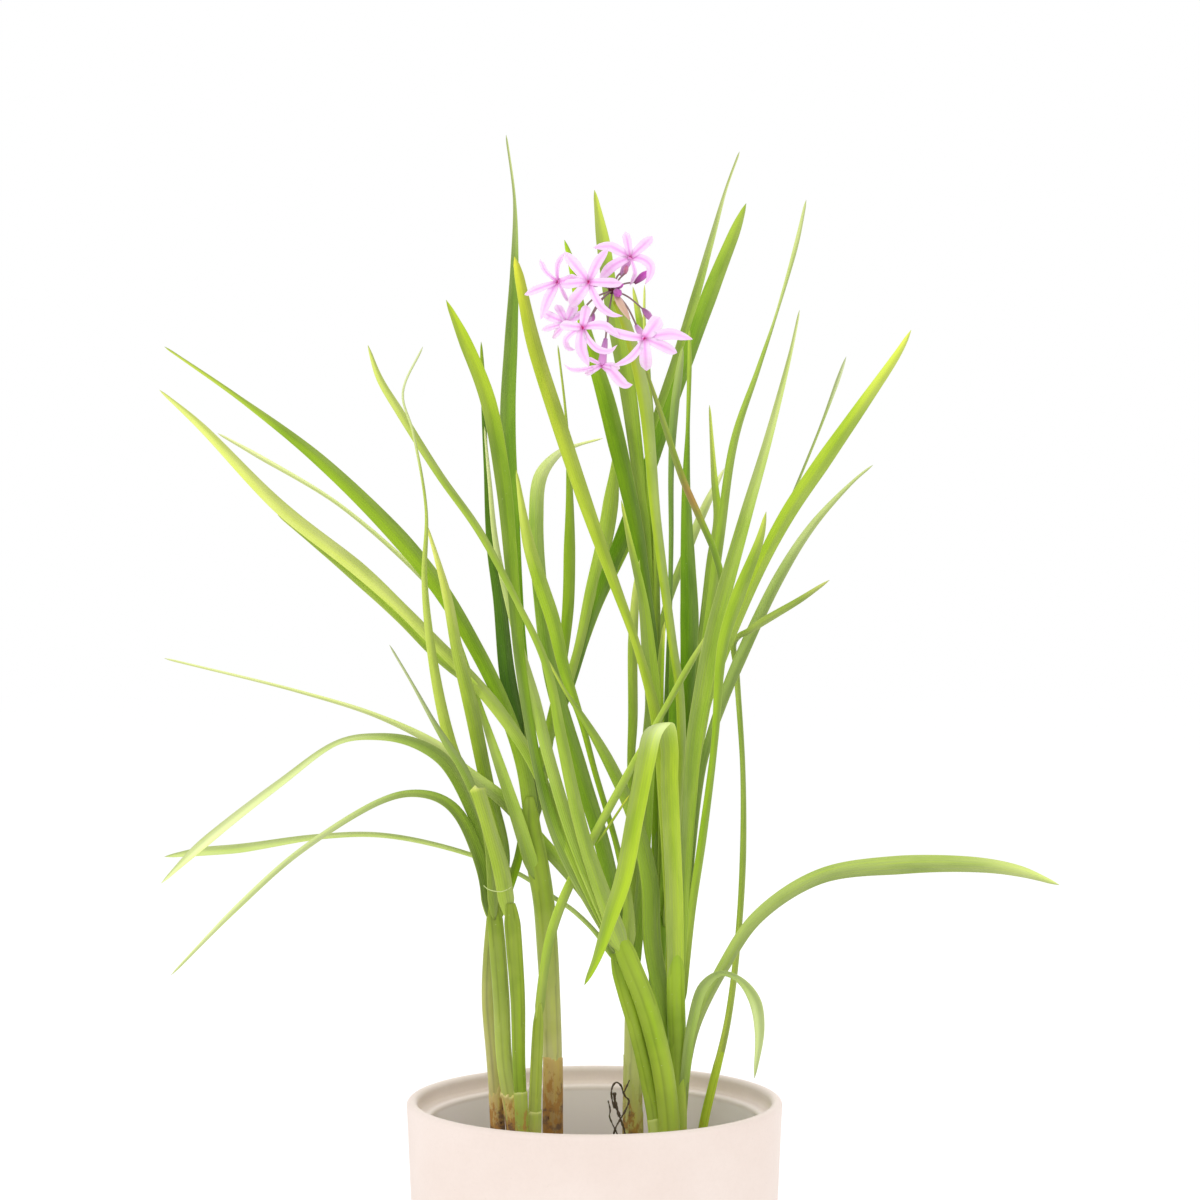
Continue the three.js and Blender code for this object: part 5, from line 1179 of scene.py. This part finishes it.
def soil(material):
    """The potting mix: one closed body with an uneven, crumbly top."""
    floor = FLOOR_THICKNESS + CLEARANCE
    top_radius = inner_radius(SOIL_TOP - SOIL_CROWN) - CLEARANCE
    rows = [(0, floor, 0), (inner_radius(floor) - CLEARANCE, floor, 0)]
    rows += [(top_radius * ring / SOIL_RINGS, soil_height, 0) for ring in range(SOIL_RINGS, -1, -1)]
    lathe("potting_soil_fine", rows, SOIL_SIDES, material, "potting_soil")


def crumb_form():
    """The corners of a round lump, and its triangles."""
    form = bmesh.new()
    bmesh.ops.create_icosphere(form, subdivisions=2, radius=1)
    corners = [vertex.co.copy() for vertex in form.verts]
    triangles = [[vertex.index for vertex in face.verts] for face in form.faces]
    form.free()
    return corners, triangles


def crumbs(material):
    """Loose crumbs of the mix that lie on the soil: dark bark, brown fibre lumps and pale grit."""
    rng = random.Random(f"{SEED} crumbs")
    corners, triangles = crumb_form()
    vertices, faces, tints = [], [], []
    feet = [place(*route[0]) for stem in STEMS.values() for route in stem["sheaths"]]
    weights = [entry[0] for entry in CRUMBS]
    for _ in range(CRUMB_COUNT):
        radius, angle = CRUMB_FIELD * math.sqrt(rng.random()), rng.uniform(0, 2 * math.pi)
        x, y = radius * math.cos(angle), radius * math.sin(angle)
        _, small, large, flat, tint = rng.choices(CRUMBS, weights=weights)[0]
        size = rng.uniform(small, large)
        turn = Matrix.Rotation(rng.uniform(0, math.pi), 3, "Z")
        turn = turn @ Matrix.Rotation(rng.uniform(-CRUMB_TILT, CRUMB_TILT), 3, "X")
        stretch = Vector((rng.uniform(*CRUMB_LONG), rng.uniform(*CRUMB_WIDE), flat))
        reach = size + CRUMB_GAP
        if any(math.hypot(x - foot[0], y - foot[1]) < width / 2 + reach for foot, width in feet):
            continue
        middle = Vector((x, y, soil_height(x, y) + size * flat * CRUMB_LIFT))
        start = len(vertices)
        for corner in corners:
            rough = 1 + CRUMB_ROUGHNESS * noise.noise(corner * CRUMB_DENTS + Vector((x, y, size)))
            point = turn @ Vector(a * b for a, b in zip(corner * rough * size, stretch)) + middle
            vertices.append(tuple(point * MM))
            tints.append((*[value * rng.uniform(*CRUMB_SHADES) for value in tint], 1))
        faces += [[start + index for index in triangle] for triangle in triangles]
    mesh = bpy.data.meshes.new("soil_crumbs")
    mesh.from_pydata(vertices, [], faces)
    write(mesh, "tint", "FLOAT_COLOR", "color", tints)
    dressed(mesh, "soil_crumbs", material, [])


def dry_fibres(material):
    """Thin dry fibre loops that stand beside the pale stem's foot."""
    skins = Skins()
    for number, (width, points) in enumerate(FIBRES):
        line = Line([placed(point) for point in points], [width] * len(points), FIBRE_STEP)
        knots = 1 + 0.22 * np.sin(line.along * 1.9 + number) + 0.16 * np.sin(line.along * 4.3)
        half = line.widths / 2 * knots
        add_tube(skins, line, half, half, FIBRE_TINT, FIBRE_NUMBER + number, sides=8)
    skins.piece("dry_fibre_loops", material, [], "stalk")


def pale_thread(material):
    """The pale thread of a dry sheath's rim, round the three left stems where their leaves part."""
    skins = Skins()
    add_stalk(skins, [placed(point) for point in THREAD], THREAD_WIDTH, THREAD_TINT, THREAD_NUMBER, sides=8)
    skins.piece("pale_thread", material, [], "stalk")


def yellow_strand(material):
    """The fine yellow strand beside the slim stem's leaf."""
    skins = Skins()
    add_blade(skins, STRAND, STRAND_TURNS, "yellow", STRAND_NUMBER)
    skins.piece("fine_strand", material, [], "leaf")


class Nodes:
    """A material's node tree, with short calls for the nodes that this script uses."""

    def __init__(self, name):
        self.material = bpy.data.materials.new(name)
        self.material.use_nodes = True
        self.tree = self.material.node_tree
        self.shader = self.tree.nodes["Principled BSDF"]

    def node(self, kind, values=None, **settings):
        made = self.tree.nodes.new(kind)
        for key, value in settings.items():
            setattr(made, key, value)
        for key, value in (values or {}).items():
            self.feed(made.inputs[key], value)
        return made

    def feed(self, socket, value):
        """Links an output to a socket, or sets the socket's own value."""
        if isinstance(value, bpy.types.NodeSocket):
            self.tree.links.new(value, socket)
        else:
            socket.default_value = value

    def attribute(self, name, output):
        return self.node("ShaderNodeAttribute", attribute_name=name).outputs[output]

    def math(self, operation, first, second=0.0):
        return self.node("ShaderNodeMath", {0: first, 1: second}, operation=operation).outputs[0]

    def times(self, first, second):
        return self.math("MULTIPLY", first, second)

    def plus(self, first, second):
        return self.math("ADD", first, second)

    def where(self):
        return self.node("ShaderNodeTexCoord").outputs["Object"]

    def strip(self):
        """The place on a strip: across it from -1 to 1, along it, and the strip's number."""
        return self.node("ShaderNodeSeparateXYZ", {0: self.attribute("strip", "Vector")}).outputs

    def noise(self, vector, scale, detail=3.0, roughness=0.5):
        values = {"Vector": vector, "Scale": scale, "Detail": detail, "Roughness": roughness}
        return self.node("ShaderNodeTexNoise", values).outputs["Fac"]

    def strip_noise(self, strip, rates, scale, detail, roughness=0.5):
        """Noise on a strip, with its own rate across, along and from strip to strip."""
        parts = [self.times(part, rate) for part, rate in zip(strip, rates)]
        vector = self.node("ShaderNodeCombineXYZ", dict(enumerate(parts))).outputs[0]
        return self.noise(vector, scale, detail, roughness)

    def stretched_noise(self, vector, scales, detail, roughness=0.5):
        """Noise with its own scale along each axis."""
        mapped = self.node("ShaderNodeMapping", {"Vector": vector, "Scale": scales}).outputs[0]
        return self.noise(mapped, 1.0, detail, roughness)

    def cells(self, vector, scale):
        return self.node("ShaderNodeTexVoronoi", {"Vector": vector, "Scale": scale}).outputs["Distance"]

    def ramp(self, factor, low, high, bottom=0.0, top=1.0):
        """Carries a factor between low and high onto bottom to top, clamped and smooth."""
        values = {"Value": factor, "From Min": low, "From Max": high, "To Min": bottom, "To Max": top}
        return self.node("ShaderNodeMapRange", values, interpolation_type="SMOOTHSTEP").outputs["Result"]

    def blend(self, factor, first, second, kind="MIX"):
        made = self.node("ShaderNodeMix", data_type="RGBA", blend_type=kind)
        self.feed(made.inputs["Factor"], factor)
        for socket, value in (("A", first), ("B", second)):
            self.feed(made.inputs[socket], value if isinstance(value, bpy.types.NodeSocket) else (*value, 1))
        return made.outputs["Result"]

    def bump(self, height, distance, strength):
        values = {"Height": height, "Distance": distance, "Strength": strength}
        return self.node("ShaderNodeBump", values).outputs[0]

    def finish(self, **values):
        for key, value in values.items():
            self.feed(self.shader.inputs[key.replace("_", " ")], value)
        return self.material


def leaf_material(name, edge_share):
    """Fresh leaf: fine lines along it, paler edges, soft patches, brown stains at the foot, satin gloss."""
    nodes = Nodes(name)
    strip = nodes.strip()
    side = strip[0]
    stain = nodes.attribute("stain", "Fac")
    streaks = nodes.strip_noise(strip, STREAK_RATES, 1.6, 4.0, 0.6)
    patches = nodes.strip_noise(strip, PATCH_RATES, 1.0, 3.0)
    flecks = nodes.strip_noise(strip, FLECK_RATES, 3.0, 2.0)
    veins = nodes.math("SINE", nodes.times(side, VEINS * math.pi))
    base = nodes.attribute("tint", "Color")
    base = nodes.blend(nodes.ramp(streaks, 0.4, 0.72, 0.0, 0.45), base, LEAF_STREAK, "SOFT_LIGHT")
    base = nodes.blend(nodes.ramp(patches, 0.35, 0.7, 0.0, 0.35), base, LEAF_PATCH, "SOFT_LIGHT")
    base = nodes.blend(nodes.ramp(veins, 0.2, 1.0, 0.0, 0.1), base, LEAF_VEIN, "OVERLAY")
    base = nodes.blend(nodes.ramp(nodes.math("ABSOLUTE", side), 0.9, 0.985, 0.0, edge_share), base, LEAF_EDGE)
    base = nodes.blend(nodes.ramp(flecks, 0.7, 0.78, 0.0, 0.34), base, LEAF_FLECK)
    where = nodes.where()
    stained = nodes.ramp(stain, 0.02, 0.3)
    for scales, detail, roughness, help_share, low, high, most, tint in STAIN_LAYERS:
        cracks = nodes.stretched_noise(where, scales, detail, roughness)
        soaked = nodes.ramp(nodes.plus(cracks, nodes.times(stain, help_share)), low, high, 0.0, most)
        base = nodes.blend(nodes.times(soaked, stained), base, tint)
    height = nodes.plus(nodes.times(veins, 0.25), nodes.times(streaks, 0.8))
    height = nodes.plus(height, nodes.times(nodes.times(cracks, stain), 3.0))
    rough = nodes.ramp(nodes.plus(streaks, nodes.times(stain, 0.5)), 0.3, 1.0, 0.42, 0.7)
    return nodes.finish(Base_Color=base, Roughness=rough, Normal=nodes.bump(height, 0.00012, 0.55),
                        Specular_IOR_Level=0.2)


def petal_material():
    """Petals: soft pink-lilac, deeper towards the throat, with fine long lines and a slight sparkle."""
    nodes = Nodes("petal")
    lines = nodes.strip_noise(nodes.strip(), PETAL_RATES, 1.4, 4.0, 0.6)
    tint = nodes.attribute("tint", "Color")
    base = nodes.blend(nodes.ramp(lines, 0.4, 0.75, 0.0, 0.3), tint, PETAL_DEEP_LINE)
    height = nodes.plus(nodes.times(lines, 1.2), nodes.times(nodes.cells(nodes.where(), 5200.0), 0.3))
    return nodes.finish(Base_Color=base, Roughness=nodes.ramp(lines, 0.2, 0.8, 0.42, 0.58),
                        Normal=nodes.bump(height, 0.00008, 0.5), Subsurface_Weight=0.35,
                        Subsurface_Scale=0.001, Subsurface_Radius=(1.0, 0.6, 0.9),
                        Specular_IOR_Level=0.3, Sheen_Weight=0.15, Sheen_Roughness=0.4)


def pot_material():
    """The pot: matte warm off-white with a faint mottle, fine grain, a few tiny pits and a paler inside of
    painted light.
    """
    nodes = Nodes("pot")
    where = nodes.where()
    mottle = nodes.noise(where, 26.0, 4.0, 0.55)
    grain = nodes.noise(where, 900.0, 4.0, 0.6)
    turning = nodes.stretched_noise(where, (3, 3, 700), 2.0)
    base = nodes.blend(nodes.ramp(mottle, 0.35, 0.7), POT_WARM, POT_PALE)
    base = nodes.blend(nodes.ramp(grain, 0.35, 0.75, 0.0, 0.06), base, POT_SHADE)
    base = nodes.blend(nodes.ramp(nodes.cells(where, 260.0), 0.1, 0.02, 0.0, 0.14), base, POT_SHADE)
    # Painted light: the shade attribute's share makes the inside wall and the ledge's edge paler.
    base = nodes.blend(nodes.attribute("shade", "Fac"), base, POT_INSIDE_PAINTED_LIGHT)
    height = nodes.plus(nodes.times(grain, 0.4), nodes.times(turning, 0.5))
    return nodes.finish(Base_Color=base, Roughness=nodes.ramp(mottle, 0.3, 0.7, 0.5, 0.62),
                        Normal=nodes.bump(height, 0.00012, 0.5), Specular_IOR_Level=0.4)


def soil_material():
    """Damp potting mix: dark brown, with paler dry crumbs and fibres."""
    nodes = Nodes("soil")
    where = nodes.where()
    lumps = nodes.noise(where, 160.0, 6.0, 0.65)
    dry = nodes.cells(where, 640.0)
    base = nodes.blend(nodes.ramp(lumps, 0.35, 0.68), SOIL_DARK, SOIL_BROWN)
    base = nodes.blend(nodes.ramp(dry, 0.16, 0.05, 0.0, 0.5), base, SOIL_DRY)
    height = nodes.plus(lumps, nodes.times(dry, 0.6))
    return nodes.finish(Base_Color=base, Roughness=nodes.ramp(lumps, 0.3, 0.7, 0.78, 0.96),
                        Normal=nodes.bump(height, 0.0009, 0.8), Specular_IOR_Level=0.2)


def crumb_material():
    """Bark, fibre lumps and grit: each with its own tint and a rough grain."""
    nodes = Nodes("crumb")
    grain = nodes.noise(nodes.where(), 1400.0, 5.0, 0.65)
    base = nodes.blend(nodes.ramp(grain, 0.35, 0.7, 0.0, 0.5), nodes.attribute("tint", "Color"), SOIL_DARK)
    return nodes.finish(Base_Color=base, Roughness=nodes.ramp(grain, 0.3, 0.7, 0.75, 0.95),
                        Normal=nodes.bump(grain, 0.0003, 0.7), Specular_IOR_Level=0.2)


def floor_material():
    return Nodes("pale_floor").finish(Base_Color=(1, 1, 1, 1), Roughness=1.0, Specular_IOR_Level=0.0)


def stage_object(name, data, location, rotation=(0, 0, 0)):
    made = bpy.data.objects.new(name, data)
    made.location = location
    made.rotation_euler = rotation
    bpy.context.scene.collection.objects.link(made)
    return made


def stage():
    """A plain pale floor, a white surround, soft lights from three sides, and the camera."""
    scene = bpy.context.scene
    mesh = bpy.data.meshes.new("floor")
    corners = [(x * FLOOR_REACH, y * FLOOR_REACH, 0) for x, y in ((-1, -1), (1, -1), (1, 1), (-1, 1))]
    mesh.from_pydata(corners, [], [[0, 1, 2, 3]])
    mesh.materials.append(floor_material())
    floor = stage_object("floor", mesh, (0, 0, FLOOR_DROP))
    world = bpy.data.worlds.new("surround")
    world.use_nodes = True
    world.node_tree.nodes["Background"].inputs["Color"].default_value = (1, 1, 1, 1)
    world.node_tree.nodes["Background"].inputs["Strength"].default_value = SURROUND
    scene.world = world
    for name, spot, size, power in LIGHTS:
        light = bpy.data.lights.new(name, "AREA")
        light.shape = "SQUARE"
        light.size = size
        light.energy = power
        aim = (Vector(LIGHT_AIM) - Vector(spot)).to_track_quat("-Z", "Y").to_euler()
        stage_object(name, light, spot, aim)
    camera = bpy.data.cameras.new("camera")
    camera.lens = LENS
    camera.sensor_width = SENSOR
    scene.camera = stage_object("camera", camera, EYE * MM, (math.pi / 2, 0, 0))
    scene.view_settings.view_transform = "Standard"


stage()
leaf = leaf_material("leaf", LEAF_EDGE_SHARE)
stalk = leaf_material("stalk", 0.0)
for order, (name, stem) in enumerate(STEMS.items()):
    leafy_stem(name, stem, order, leaf)
flower_stem(stalk)
flower_head(petal_material(), stalk)
dry_fibres(stalk)
yellow_strand(leaf)
pale_thread(stalk)
pot(pot_material())
soil(soil_material())
crumbs(crumb_material())
